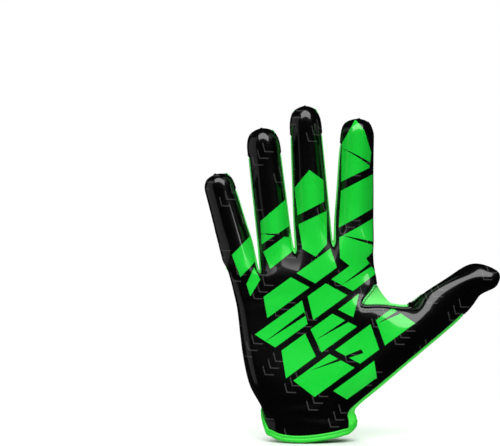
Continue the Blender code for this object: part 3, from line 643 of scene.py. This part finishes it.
def printed_patch(finish, shape):
    """1 inside a convex patch of the print, whose corners go round clockwise or the other way."""
    area = sum(x * v - u * z for (x, z), (u, v) in zip(shape, shape[1:] + shape[:1]))
    shape = shape if area > 0 else shape[::-1]
    inside = 1.0
    for (x, z), (u, v) in zip(shape, shape[1:] + shape[:1]):
        length = math.hypot(u - x, v - z)
        across, up = (v - z) / length, (x - u) / length
        sockets = {0: finish.place, 1: (across, 0, up)}
        side = finish.add("ShaderNodeVectorMath", {"operation": "DOT_PRODUCT"}, sockets, "Value")
        inside = (side < (across * x + up * z) / 1000) * inside
    return inside


def printed_patches(finish, shapes):
    """1 inside any of several patches."""
    inside = 0
    for shape in shapes:
        inside = printed_patch(finish, shape).maths("MAXIMUM", inside)
    return inside


def coated_leather(name, printed):
    """Black grip leather under a clear tacky coat, with a grey and green print beneath it on the palm."""
    finish = Finish(name, coat_weight=1.0, coat_roughness=0.07, specular_ior_level=0.12)
    worn, inside = finish.noise(45, 3.0), finish.own("inside")
    tone = finish.blend(worn, (0.0003, 0.0003, 0.0003), (0.0008, 0.0008, 0.0009))
    if printed:
        right, up = finish.axis("X") * 1000, finish.axis("Z") * 1000
        ways = (right * PRINT_WAY[0] + up * PRINT_WAY[1], up * PRINT_WAY[0] - right * PRINT_WAY[1])
        along, beyond = ((way * (1 / cell)).maths("FRACT") * cell - cell / 2 for way, cell in zip(ways, PRINT_CELL))
        arrow = along - abs(beyond) * PRINT_SLANT
        bars = (arrow * (1 / BAR_PITCH)).maths("FRACT") < BAR_SHARE
        bars = bars * (abs(arrow) < BAR_REACH[0]) * (abs(beyond) < BAR_REACH[1])
        tone = finish.blend(bars, tone, (0.0400, 0.0385, 0.0380))
        green = finish.blend(worn, (0.0060, 0.575, 0.028), (0.0150, 0.665, 0.052))
        shards = printed_patches(finish, SHARDS) * (1 - printed_patches(finish, CRACKS))
        tone = finish.blend(shards, tone, green)
    lining = finish.blend(finish.noise(500), (0.010, 0.010, 0.011), (0.022, 0.022, 0.024))
    finish.set(base_color=finish.blend(inside, tone, lining), roughness=worn * 0.12 + 0.22 + inside * 0.5)
    kept = 1 - finish.own("flexed") * FLEX_WEAR if printed else 1
    finish.set(coat_weight=(1 - inside) * kept)
    finish.raised(finish.noise(700) * 0.35 + finish.noise(110), 0.00006)
    return finish


def dulled(work, *_):
    """Marks the foot of each crotch, where bending has worn the coat dull."""
    flexed = work.verts.layers.float.new("flexed")
    crotches = [(points[number["side", f, 0, 1]] + points[number["side", f + 1, 0, 0]]) / 2 for f in range(3)]
    crotches = [Vector((x, -FLEX_DEPTH, z - FLEX_DROP)) for x, _, z in crotches]
    for vertex in work.verts:
        away = min((vertex.co - crotch).length for crotch in crotches)
        vertex[flexed] = max(0.0, min(1.0, (FLEX_REACH - away) / FLEX_FADE))


palm = cut_panel("palm_leather", PALM, PALM_WALL, dulled)
finish_piece(palm, coated_leather("printed_grip_leather", True), "coated_leather", "palm_panel")

# Caps
# Three patches of the same black coated leather wrap the backs of the thumb, the index and the little finger,
# where the glove meets the ball. They are cut over the form as the palm is, and sewn to the back's leather.
black_coat = coated_leather("plain_grip_leather", False)
for name, panel, node in (
    ("thumb_tip_patch", THUMB_CAP, "thumb_cap"),
    ("index_tip_patch", INDEX_CAP, "index_cap"),
    ("little_tip_patch", LITTLE_CAP, "little_cap"),
):
    finish_piece(cut_panel(name, panel, PALM_WALL), black_coat, "coated_leather", node)

# Side strips and thumb gusset
# Three long strips of pale stretch knit join the fronts and backs of neighbouring fingers, and a patch of it
# fills the web of the thumb. The knit is thinner than the leather and sits a little lower between its seams.
KNIT_WALL, STRIP_SUNK = 0.0011, 0.0003
knit = Finish("pale_stretch_knit", specular_ior_level=0.25)
loops = knit.wave("X", 620, 0.6, 1.0) * 0.6 + knit.wave("Z", 480, 0.8, 1.0) * 0.4
pile = knit.noise(90, 3.0)
tone = knit.blend(loops, (0.075, 0.62, 0.085), (0.165, 0.90, 0.150))
# Painted shade: the knit is darkened within about a millimetre of its seams, where it sits lower between the
# leather.
tone = knit.blend(knit.rise(knit.own("seam"), 1.1, 0.2) * 0.45, tone, (0.030, 0.48, 0.110))
knit.set(base_color=knit.blend(pile * 0.35, tone, (0.190, 0.95, 0.330)), roughness=pile * 0.15 + 0.62)
knit.raised(loops + pile * 0.8, 0.00012, 0.6)
for name, panel, node in (
    ("little_to_ring_strip", STRIP, "fourchette_little_ring"),
    ("ring_to_middle_strip", STRIP + 1, "fourchette_ring_middle"),
    ("middle_to_index_strip", STRIP + 2, "fourchette_middle_index"),
    ("thumb_web_patch", GUSSET, "thumb_gusset"),
):
    strip = cut_panel(name, panel, KNIT_WALL, sunk=0.0 if panel == GUSSET else STRIP_SUNK)
    finish_piece(strip, knit, "stretch_cloth", node)

# Back and thumb panels
# Soft lime leather covers the back of the hand and the thumb's back, in two pieces that meet at a raised diagonal
# seam. It is pricked all over with small blind holes in even rows, which let it breathe and bend.
BACK_WALL, HOLE_DEPTH, HOLE_ROW = 0.0012, 0.00055, 0.0075
HOLE_RINGS = ((0.20, 0.0, 1.0), (0.58, 0.42, 0.92), (0.93, 0.76, 0.06))  # up to, moved to, share of the depth
HOLE_REACH, FINE_REACH, HOLE_SPACING, SEAM_CLEAR = 0.0010, 0.0019, 0.0058, 0.0027
TAB_LENGTH, TAB_HEIGHT, TAB_END, TAB_BASE = 0.0410, 0.0330, 0.25 * WRIST_WIDTH, 0.107 * PALM_HEIGHT


def tab_edges(share):
    """Lower and upper edge of the wrist tab, as heights, at a share of its length from its free end."""
    low = 0.20 * (1 - min(1.0, share / 0.28)) ** 1.5 + 0.16 * max(0.0, share - 0.28)
    high = mix(0.42, 1.0, min(1.0, share / 0.80) ** 0.9)
    return TAB_BASE + low * TAB_HEIGHT, TAB_BASE + high * TAB_HEIGHT


def under_tab(x, z):
    share = (TAB_END - x) / TAB_LENGTH
    low, high = tab_edges(max(0.0, share))
    return share > -0.06 and low - 0.003 < z < high + 0.003


# Rows of spots over the hand's back, up each finger and over the thumb: those clear of seams and tab are pricked
spots = []
for row in range(13):
    z = 0.0135 + row * HOLE_ROW
    for across in range(-7, 8):
        spots.append((across * HOLE_ROW * (0.97 + 1.1 * z), z + 0.035 * across * HOLE_ROW))
spots += [
    leaning(finger, across * FINGERS[finger][0] * 0.295, 0.002 + row * HOLE_ROW * 0.97)
    for finger in range(4) for row in range(12) for across in (-1, 0, 1)
]
spots += [
    (0.034 + step * 0.0070 + row * 0.0046, 0.0140 + row * 0.0074 + step * 0.0006)
    for row in range(12) for step in range(7)
]
holes = []
for x, z in spots:
    place, out, face, _ = surface.ray_cast(Vector((x, 0.2, z)), Vector((0, -1, 0)))
    if face is None or owner[face] not in (BACK, THUMB) or out.y < 0.3 or under_tab(x, z):
        continue
    if seam_tree.find(place)[2] > SEAM_CLEAR and all((place - hole[0]).length > HOLE_SPACING for hole in holes):
        holes.append((place, out, owner[face]))


def prick(work, covered, panel):
    """Sinks the blind holes into a panel's outer face, on finer faces round each of them."""
    panel_holes = [(place, out) for place, out, pricked in holes if pricked == panel]
    hole = work.verts.layers.float.new("hole")
    near = search_tree([(index, face.calc_center_median()) for index, face in enumerate(covered)])
    chosen = {index for place, _ in panel_holes for _, index, _ in near.find_range(place, FINE_REACH)}
    edges = list(dict.fromkeys(edge for index in sorted(chosen) for edge in covered[index].edges))
    bmesh.ops.subdivide_edges(work, edges=edges, cuts=3, use_grid_fill=True)
    work.verts.ensure_lookup_table()
    near = search_tree([(index, vertex.co) for index, vertex in enumerate(work.verts)])
    for place, out in panel_holes:
        for _, index, _ in near.find_range(place, HOLE_REACH):
            vertex = work.verts[index]
            away = vertex.co - place
            height = away.dot(out)
            if abs(height) > 0.0004:  # the inner wall
                continue
            flat = away - out * height
            for limit, moved, share in HOLE_RINGS:
                if flat.length < limit / 1000:
                    round_place = flat.normalized() * moved / 1000 if moved else Vector()
                    vertex.co = place + round_place + out * (height - share * HOLE_DEPTH)
                    vertex[hole] = share
                    break


lime = Finish("pricked_lime_leather", specular_ior_level=0.35)
inside, hole, seam = lime.own("inside"), lime.own("hole"), lime.own("seam")
soft, fine = lime.noise(28, 3.0), lime.grain(900)
tone = lime.blend(lime.rise(soft, 0.3, 0.7), (0.046, 0.83, 0.048), (0.090, 0.95, 0.092))
# Painted shade: the leather is darkened within about a millimetre of each seam.
tone = lime.blend(lime.rise(seam, 0.9, 0.1) * 0.5, tone, (0.012, 0.52, 0.050))
# Painted shade: the bottoms of the blind holes are darkened by the share of their depth that prick stores.
tone = lime.blend(hole * 0.85, tone, (0.002, 0.13, 0.030))
lining = lime.blend(lime.noise(500), (0.12, 0.55, 0.13), (0.20, 0.70, 0.20))
lime.set(base_color=lime.blend(inside, tone, lining), roughness=soft * 0.12 + fine * 0.08 + 0.36 + inside * 0.4)
lime.raised(fine * 0.5 + lime.noise(300, 3.0), 0.00010, 0.7)
for name, panel, node in (("back_leather", BACK, "back_panel"), ("thumb_leather", THUMB, "thumb_panel")):
    finish_piece(cut_panel(name, panel, BACK_WALL, prick), lime, "perforated_leather", node)


# Stitching
# Every seam is closed by a row of short lockstitches just inside the leather's edge: black on the palm and caps,
# green on the back, doubled where the leather carries load, and zigzag along the thumb and the web.
STRIPS, TIP_BARE, SEAM_LOOK = (STRIP, STRIP + 1, STRIP + 2), 0.0085, 0.0012


def in_order(edges):
    """Edges of the form as lines of vertices, each in order along it."""
    ties = {}
    for start, end in edges:
        ties.setdefault(start, []).append(end)
        ties.setdefault(end, []).append(start)
    lines = []
    while any(ties.values()):
        ends = [vertex for vertex, near in ties.items() if len(near) == 1]
        line = [ends[0] if ends else next(vertex for vertex, near in ties.items() if near)]
        while ties[line[-1]]:
            step = ties[line[-1]].pop()
            ties[step].remove(line[-1])
            line.append(step)
        lines.append(line)
    return lines


def seam_lines(panel, *others):
    """The lines along which a panel meets others."""
    return in_order(edge for edge, panels in meeting.items() if panel in panels and {*panels} & {*others})


def beside(line, panel, offset, pitch, start=0.0, stop=0.0, sink=0.0):
    """Places at a pitch along a seam, set off into a panel, each with its ways along, across and out."""
    total, uses = np.zeros_like(skin), np.zeros(len(skin))
    faces = owner == panel
    np.add.at(total, corners[faces].ravel(), np.repeat(centres[faces], 4, axis=0))
    np.add.at(uses, corners[faces].ravel(), 1)
    at = skin[line]
    lean = total[line] / np.maximum(uses[line], 1)[:, None] - at
    reach = np.concatenate(([0.0], np.cumsum(np.linalg.norm(np.diff(at, axis=0), axis=1))))
    steps = np.arange(start + pitch / 2, reach[-1] - stop, pitch)

    def read(values, where):
        return np.stack([np.interp(where, reach, values[:, axis]) for axis in range(3)], axis=1)

    frames = []
    ahead = read(at, steps + SEAM_LOOK) - read(at, steps - SEAM_LOOK)
    for place, along, aside in zip(read(at, steps), ahead, read(lean, steps)):
        along, aside = Vector(along).normalized(), Vector(aside)
        out = surface.find_nearest(Vector(place))[1]
        aside = (aside - along * aside.dot(along) - out * aside.dot(out)).normalized()
        place, out, _, _ = surface.find_nearest(Vector(place) + aside * offset)
        along = (along - out * along.dot(out)).normalized()
        frames.append((place - out * sink, along, out.cross(along), out))
    return frames


def ring_faces(count, size, closed=False):
    """The faces between rings of corners, each ring with the one after it."""
    faces = []
    for ring in range(count if closed else count - 1):
        low, high = ring * size, (ring + 1) % count * size
        for corner in range(size):
            follow = (corner + 1) % size
            faces.append((low + corner, high + corner, high + follow, low + follow))
    return faces


def stitches(frames, length=0.00115, width=0.00042, turns=(0.0,)):
    """Small thread bodies, one at each place, turned from the seam's way by the angles in order."""
    ring = [(math.cos(turn), math.sin(turn)) for turn in np.linspace(0, 2 * math.pi, 7)[:6]]
    body = [(end * 0.28, side * 0.5, up * 0.38) for end in (-1, 1) for side, up in ring]
    body += [(-0.5, 0.0, -0.30), (0.5, 0.0, -0.30)]
    shell = ring_faces(2, 6)
    for low in range(6):
        high = (low + 1) % 6
        shell += [(low, high, 12), (high + 6, low + 6, 13)]
    places, faces = [], []
    for order, (place, along, across, out) in enumerate(frames):
        turn = math.radians(turns[order % len(turns)])
        way = along * math.cos(turn) + across * math.sin(turn)
        side = out.cross(way)
        base = len(places)
        for a, b, c in body:
            places.append(place + way * a * length + side * b * width + out * c * width)
        faces += [tuple(base + corner for corner in face) for face in shell]
    return places, faces


def sewn(panel, others, *rows, **shape):
    """Rows of stitches on a panel beside its seams with others: offset, pitch, and the bare start and stop."""
    return [stitches(beside(line, panel, *row), **shape) for line in seam_lines(panel, *others) for row in rows]


def closed_piece(name, places, faces, sharp):
    """A piece from its places and faces, all of them turned outwards."""
    mesh = bpy.data.meshes.new(name)
    mesh.from_pydata([tuple(place) for place in places], [], faces)
    work = bmesh.new()
    work.from_mesh(mesh)
    bmesh.ops.recalc_face_normals(work, faces=work.faces[:])
    work.to_mesh(mesh)
    work.free()
    return new_piece(name, mesh, sharp)


def joined(name, parts, sharp=60):
    """One piece from several sets of places and faces."""
    places, faces = [], []
    for more_places, more_faces in parts:
        faces += [tuple(len(places) + corner for corner in face) for face in more_faces]
        places += more_places
    return closed_piece(name, places, faces, sharp)


def thread(name, dark, light):
    finish = Finish(name, specular_ior_level=0.3)
    twist = finish.noise(1500)
    finish.set(base_color=finish.blend(twist, dark, light), roughness=twist * 0.2 + 0.5)
    finish.raised(twist, 0.00008)
    return finish


black_thread = thread("black_thread", (0.003, 0.003, 0.003), (0.012, 0.012, 0.012))
green_thread = thread("green_thread", (0.006, 0.30, 0.05), (0.030, 0.55, 0.09))
tips = [Vector(points[number["tip", finger]]) for finger in range(4)]
rows = []
for line in seam_lines(PALM, BACK, THUMB, THUMB_CAP, INDEX_CAP, LITTLE_CAP, *STRIPS):
    row = beside(line, PALM, 0.0014, 0.0019, sink=0.00009)
    rows.append(stitches([frame for frame in row if min((frame[0] - tip).length for tip in tips) > TIP_BARE]))
rows += sewn(PALM, (GUSSET,), (0.0013, 0.0019, 0.001, 0.001), (0.0030, 0.0019, 0.004, 0.002))
rows += sewn(GUSSET, (PALM,), (0.0012, 0.0012, 0.002, 0.002), length=0.0022, turns=(35, -35))
for cap, leather in ((THUMB_CAP, THUMB), (INDEX_CAP, BACK), (LITTLE_CAP, BACK)):
    rows += sewn(cap, (leather,), (0.0016, 0.0017, 0.001, 0.001), (0.0034, 0.0017, 0.0015, 0.0015))
finish_piece(joined("black_stitching", rows), black_thread, "binding_cloth")
rows = sewn(BACK, (PALM, *STRIPS), (0.0015, 0.0021))
rows += sewn(BACK, (GUSSET,), (0.0013, 0.0018), (0.0030, 0.0018))
rows += sewn(THUMB, (PALM,), (0.0014, 0.0021))
rows += sewn(THUMB, (BACK,), (0.0034, 0.0013), length=0.0030, turns=(68, -68))
finish_piece(joined("green_stitching", rows), green_thread, "binding_cloth")


# Welts
# The diagonal seam of the thumb and the foot of each crotch on the back are bound with a folded strip of the lime
# leather, which stands proud as a round welt. The web's lower seam has a black one, and knots end the fingertips.
WELT = ((-1.0, -0.25), (-0.86, 0.35), (-0.5, 0.80), (0.0, 1.0), (0.5, 0.80), (0.86, 0.35), (1.0, -0.25), (0.0, -0.5))
CROTCH_WELT, WEB_FOOT = 0.009, 0.0848  # the crotch welts' height, and the height below which the web has one
CAP_KNOTS = ((0.0425, 0.1898), (-0.0675, 0.1566), (0.1068, 0.0819))


def welt(frames, half, height):
    """A half round strip swept along a seam, tapered to nothing at both ends."""
    count, size = len(frames), len(WELT)
    out_ways = np.array([tuple(frame[3]) for frame in frames])
    for _ in range(3):
        out_ways[1:-1] = (out_ways[:-2] + out_ways[1:-1] * 2 + out_ways[2:]) / 4
    places, faces = [], []
    for step, (place, along, _, _) in enumerate(frames):
        taper = min(1.0, (min(step, count - 1 - step) + 0.3) / 3.5)
        out = Vector(out_ways[step]).normalized()
        across = out.cross(along)
        places += [place + across * half * a * taper + out * height * b * taper for a, b in WELT]
    ends = tuple(range(size)), tuple((count - 1) * size + corner for corner in reversed(range(size)))
    return places, [*ring_faces(count, size), *ends]


welts = [welt(beside(line, BACK, 0.0004, 0.0010, 0.001, 0.001), 0.0014, 0.0009) for line in seam_lines(BACK, THUMB)]
for strip in STRIPS:
    for line in seam_lines(BACK, strip):
        foot = min(skin[vertex][2] for vertex in line)
        near = [frame for frame in beside(line, BACK, 0.0012, 0.0008) if frame[0].z < foot + CROTCH_WELT]
        welts.append(welt(near, 0.0012, 0.0008))
lime_welt = Finish("lime_welt", specular_ior_level=0.4)
tone = lime_welt.noise(60)
lime_welt.set(base_color=lime_welt.blend(tone, (0.050, 0.84, 0.060), (0.095, 0.95, 0.110)))
lime_welt.set(roughness=tone * 0.1 + 0.34)
lime_welt.raised(lime_welt.grain(900) + lime_welt.noise(250), 0.00008, 0.6)
finish_piece(joined("lime_welts", welts, 80), lime_welt, "perforated_leather")
welts = []
for line in seam_lines(PALM, GUSSET):
    lower = [frame for frame in beside(line, PALM, 0.0002, 0.0008) if frame[0].z < WEB_FOOT]
    welts += [welt(lower, 0.0010, 0.0007)] if len(lower) > 4 else []
knots, back = [], Vector((0, 1, 0))
for finger, tip in enumerate(tips):
    place, out, _, _ = surface.find_nearest(tip)
    knots.append((place + Vector((0.0004 * finger - 0.0008, 0.0002, 0)), Vector((0.96, 0, 0.28)), back, out))
for x, z in CAP_KNOTS:
    place, out, _, _ = surface.find_nearest(Vector((x, 0, z)))
    knots.append((place, out.cross(back).normalized(), back, out))
finish_piece(joined("black_welts", [*welts, stitches(knots, 0.0022, 0.0009)], 80), black_coat, "coated_leather")

# Cuff binding
# The wrist's edge is wrapped in a folded lime tape, sewn flat so that its outside shows two soft ridges. It is a
# channel swept along the hem of the form, and the edges of the panels stand in it.
BINDING = (
    # out of the skin, up from its edge, in millimetres
    (0.25, 3.20), (0.75, 3.45), (1.15, 3.20), (1.32, 2.70), (1.18, 2.15), (0.82, 1.75), (1.20, 1.40), (1.48, 0.80),
    (1.45, 0.10), (1.15, -0.55), (0.45, -0.98), (-0.50, -1.10), (-1.45, -1.00), (-2.10, -0.60), (-2.42, 0.10),
    (-2.45, 1.20), (-2.30, 2.60), (-1.95, 3.10), (-1.55, 2.90), (-1.52, -0.20), (0.22, -0.20),
)
hem = in_order(edge for edge, panels in meeting.items() if len(panels) == 1)[0][:-1]
rings = []
for before, vertex, after in zip(hem[-1:] + hem[:-1], hem, hem[1:] + hem[:1]):
    out, place = Vector(facing[vertex]), Vector(skin[vertex])
    up = out.cross(Vector(skin[after] - skin[before])).normalized()
    up = up if up.z > 0 else -up
    ring = []
    for away, rise in BINDING:
        spot, way = place + up * rise / 1000, out
        if rise > 0:
            spot, way, _, _ = surface.find_nearest(spot)
            way = (way + out).normalized()
        ring.append(spot + way * away / 1000)
    rings.append(ring)
shape = np.array(rings)
for _ in range(4):
    shape = (np.roll(shape, 1, axis=0) + shape * 2 + np.roll(shape, -1, axis=0)) / 4
faces = ring_faces(len(rings), len(BINDING), closed=True)
binding = closed_piece("wrist_binding", shape.reshape(-1, 3), faces, 50)
tape = Finish("lime_binding_tape", specular_ior_level=0.3)
ribs, soft = tape.wave("DIAGONAL", 420, 0.5), tape.noise(70)
tape.set(base_color=tape.blend(ribs * 0.5 + soft * 0.5, (0.014, 0.56, 0.022), (0.040, 0.74, 0.050)))
tape.set(roughness=soft * 0.15 + 0.42)
tape.raised(ribs + soft, 0.00010, 0.5)
finish_piece(binding, tape, "binding_cloth", "cuff_binding")

# Wrist tab
# The closure is a stiff moulded rubber tab on a dark cloth backing, curved round the back of the wrist. Its face
# has a plain rim and nine bent grooves, and its lower corner stands a little off the leather.
TAB_THICKNESS, BACKING_WALL, PLATE_ROUND, END_DRAW = 0.0018, 0.0010, 0.0012, 0.0014
GROOVE_DEPTH, GROOVE_PITCH, GROOVE_HALF, GROOVE_FADE, PLAIN_RIM = 0.0006, 0.0041, 0.20, 0.0008, 0.0022
GROOVE_BEND, BEND_FADE = 0.0075, 0.0055


def plate(name, grow, clearance, thickness, columns, rows, grooved):
    """A curved plate with rounded edges, laid on the form at a clearance."""
    outer, inner, depths = [], [], []
    for column in range(columns + 1):
        share = column / columns
        low, high = tab_edges(share)
        low, high = low - grow, high + grow * 0.3
        tall, length = high - low, TAB_LENGTH + grow
        x = TAB_END + grow - share * length
        for row in range(rows + 1):
            up = row / rows
            z = mix(low, high, up)
            rim = min(share * length, up * tall, (1 - up) * tall, (1 - share) * TAB_LENGTH + 0.0004)
            rounding = math.sqrt(1 - (1 - min(1.0, rim / PLATE_ROUND)) ** 2)
            drawn = END_DRAW * (1 - min(1.0, share / 0.10)) ** 2 * (2 * up - 1)
            hit, _, face, _ = surface.ray_cast(Vector((x, WRIST_DEPTH * 2, z - drawn)), Vector((0, -1, 0)))
            out = Vector(facing[corners[face]].mean(axis=0)).normalized()
            groove = 0.0
            if grooved and rim > PLAIN_RIM:
                line = (TAB_END - x) - GROOVE_BEND * math.exp(-(z - low) / BEND_FADE)
                groove = max(0.0, 1 - abs(line / GROOVE_PITCH % 1 - 0.5) / GROOVE_HALF)
                groove = groove**0.7 * min(1.0, (rim - PLAIN_RIM) / GROOVE_FADE)
            depths.append(groove)
            inner.append(hit + out * clearance)
            outer.append(hit + out * (clearance + thickness * (0.45 + 0.55 * rounding) - groove * GROOVE_DEPTH))
    faces, stride, total = [], rows + 1, len(outer)
    for column in range(columns):
        for row in range(rows):
            a, b = column * stride + row, (column + 1) * stride + row
            faces += [(a, a + 1, b + 1, b), (total + a, total + b, total + b + 1, total + a + 1)]
    rim = [column * stride for column in range(columns)] + [columns * stride + row for row in range(rows)]
    rim += [column * stride + rows for column in range(columns, 0, -1)] + list(range(rows, 0, -1))
    faces += [(a, b, total + b, total + a) for a, b in zip(rim, rim[1:] + rim[:1])]
    piece = closed_piece(name, outer + inner, faces, 60)
    piece.data.attributes.new("groove", "FLOAT", "POINT").data.foreach_set("value", depths + [0.0] * total)
    return piece


rubber = Finish("moulded_green_rubber", specular_ior_level=0.45)
soft, groove = rubber.noise(50), rubber.own("groove")
tone = rubber.blend(soft, (0.018, 0.50, 0.036), (0.032, 0.62, 0.060))
# Painted shade: the grooves are coloured a darker green by their depth.
rubber.set(base_color=rubber.blend(groove * 0.8, tone, (0.002, 0.20, 0.050)), roughness=soft * 0.1 + 0.36)
rubber.raised(rubber.noise(600), 0.00006, 0.6)
tab = plate("ribbed_wrist_tab", 0.0, 0.0020, TAB_THICKNESS, 104, 64, True)
finish_piece(tab, rubber, "moulded_rubber", "closure_tab")
felt = Finish("dark_backing_cloth", specular_ior_level=0.2)
nap = felt.noise(700, 3.0)
felt.set(base_color=felt.blend(nap, (0.003, 0.10, 0.040), (0.012, 0.24, 0.110)), roughness=nap * 0.1 + 0.8)
felt.raised(nap, 0.00015)
backing = plate("tab_backing_cloth", 0.0024, 0.0005, BACKING_WALL, 60, 36, False)
finish_piece(backing, felt, "backing_cloth", "closure_backing")

# Studio
# A small pale floor that fades out under the glove, and soft boxes above it in front and behind, in a dark room so
# that the black coat stays black. Some boxes only light the glove, and the rest only shine in the gloss of the
# pieces that they are linked to, which gives each fingertip one highlight. Only the camera sees the white behind.
FLOOR_HEIGHT, FLOOR_RADIUS, ROOM_STRENGTH, LAMP_AIM = -0.0070, 0.42, 0.012, Vector((0.02, 0, 0.10))
FRONT_SHINE = ("palm_leather", "black_welts", "wrist_binding", "thumb_web_patch")
BACK_SHINE = ("back_leather", "thumb_leather", "thumb_tip_patch", "index_tip_patch", "little_tip_patch")
LAMPS = (
    # name, place, width and height, radiance, pieces that shine in it
    ("front_high", (0.05, -0.78, 0.86), (1.9, 0.66), 4.4, ()),
    ("front_gloss", (0.05, -0.74, 0.82), (3.1, 0.85), 4.4, FRONT_SHINE),
    ("overhead", (0.0, 0.02, 1.25), (1.5, 1.0), 1.8, ()),
    ("back_high", (-0.1, 1.0, 0.9), (1.5, 0.9), 3.4, ()),
    ("side_gloss", (-1.0, 0.05, 0.12), (0.7, 0.9), 0.28, ("palm_leather",)),
    ("back_gloss", (-0.1, 0.80, 0.86), (1.5, 0.5), 3.6, (*BACK_SHINE, "ribbed_wrist_tab")),
)
bpy.ops.object.select_all(action="DESELECT")
bpy.ops.mesh.primitive_circle_add(vertices=96, radius=FLOOR_RADIUS, fill_type="NGON", location=(0, 0, FLOOR_HEIGHT))
floor = bpy.context.object
floor.name = "floor"
bpy.ops.object.transform_apply(location=True)
floor.visible_glossy = False
pale = Finish("pale_floor", roughness=0.7, specular_ior_level=0.1, base_color=(0.93, 0.93, 0.93))
reach = pale.add("ShaderNodeVectorMath", {"operation": "LENGTH"}, {0: pale.place}, "Value")
pale.set(alpha=1 - pale.rise(reach, 0.12, 0.40))
floor.data.materials.append(pale.material)
for name, place, size, radiance, shining in LAMPS:
    light = bpy.data.lights.new(name, "AREA")
    light.shape, (light.size, light.size_y) = "RECTANGLE", size
    light.energy = radiance * math.pi * size[0] * size[1]
    lamp = bpy.data.objects.new(name, light)
    lamp.location = place
    lamp.rotation_euler = (LAMP_AIM - Vector(place)).to_track_quat("-Z", "Y").to_euler()
    lamp.visible_camera, lamp.visible_glossy, lamp.visible_diffuse = False, bool(shining), not shining
    bpy.context.scene.collection.objects.link(lamp)
    if shining:
        linked = lamp.light_linking.receiver_collection = bpy.data.collections.new(name)
        for piece in shining:
            linked.objects.link(bpy.data.objects[piece])
world = bpy.data.worlds.new("studio")
bpy.context.scene.world = world
world.use_nodes = True
sky = world.node_tree
path, both = sky.nodes.new("ShaderNodeLightPath"), sky.nodes.new("ShaderNodeMixShader")
sky.links.new(path.outputs["Is Camera Ray"], both.inputs[0])
for socket, strength in ((1, ROOM_STRENGTH), (2, 1.0)):
    glow = sky.nodes.new("ShaderNodeBackground")
    glow.inputs["Color"].default_value, glow.inputs["Strength"].default_value = (1, 1, 1, 1), strength
    sky.links.new(glow.outputs[0], both.inputs[socket])
sky.links.new(both.outputs[0], sky.nodes["World Output"].inputs["Surface"])
bpy.context.scene.view_settings.view_transform = "Standard"

bpy.data.objects.remove(last, do_unlink=True)
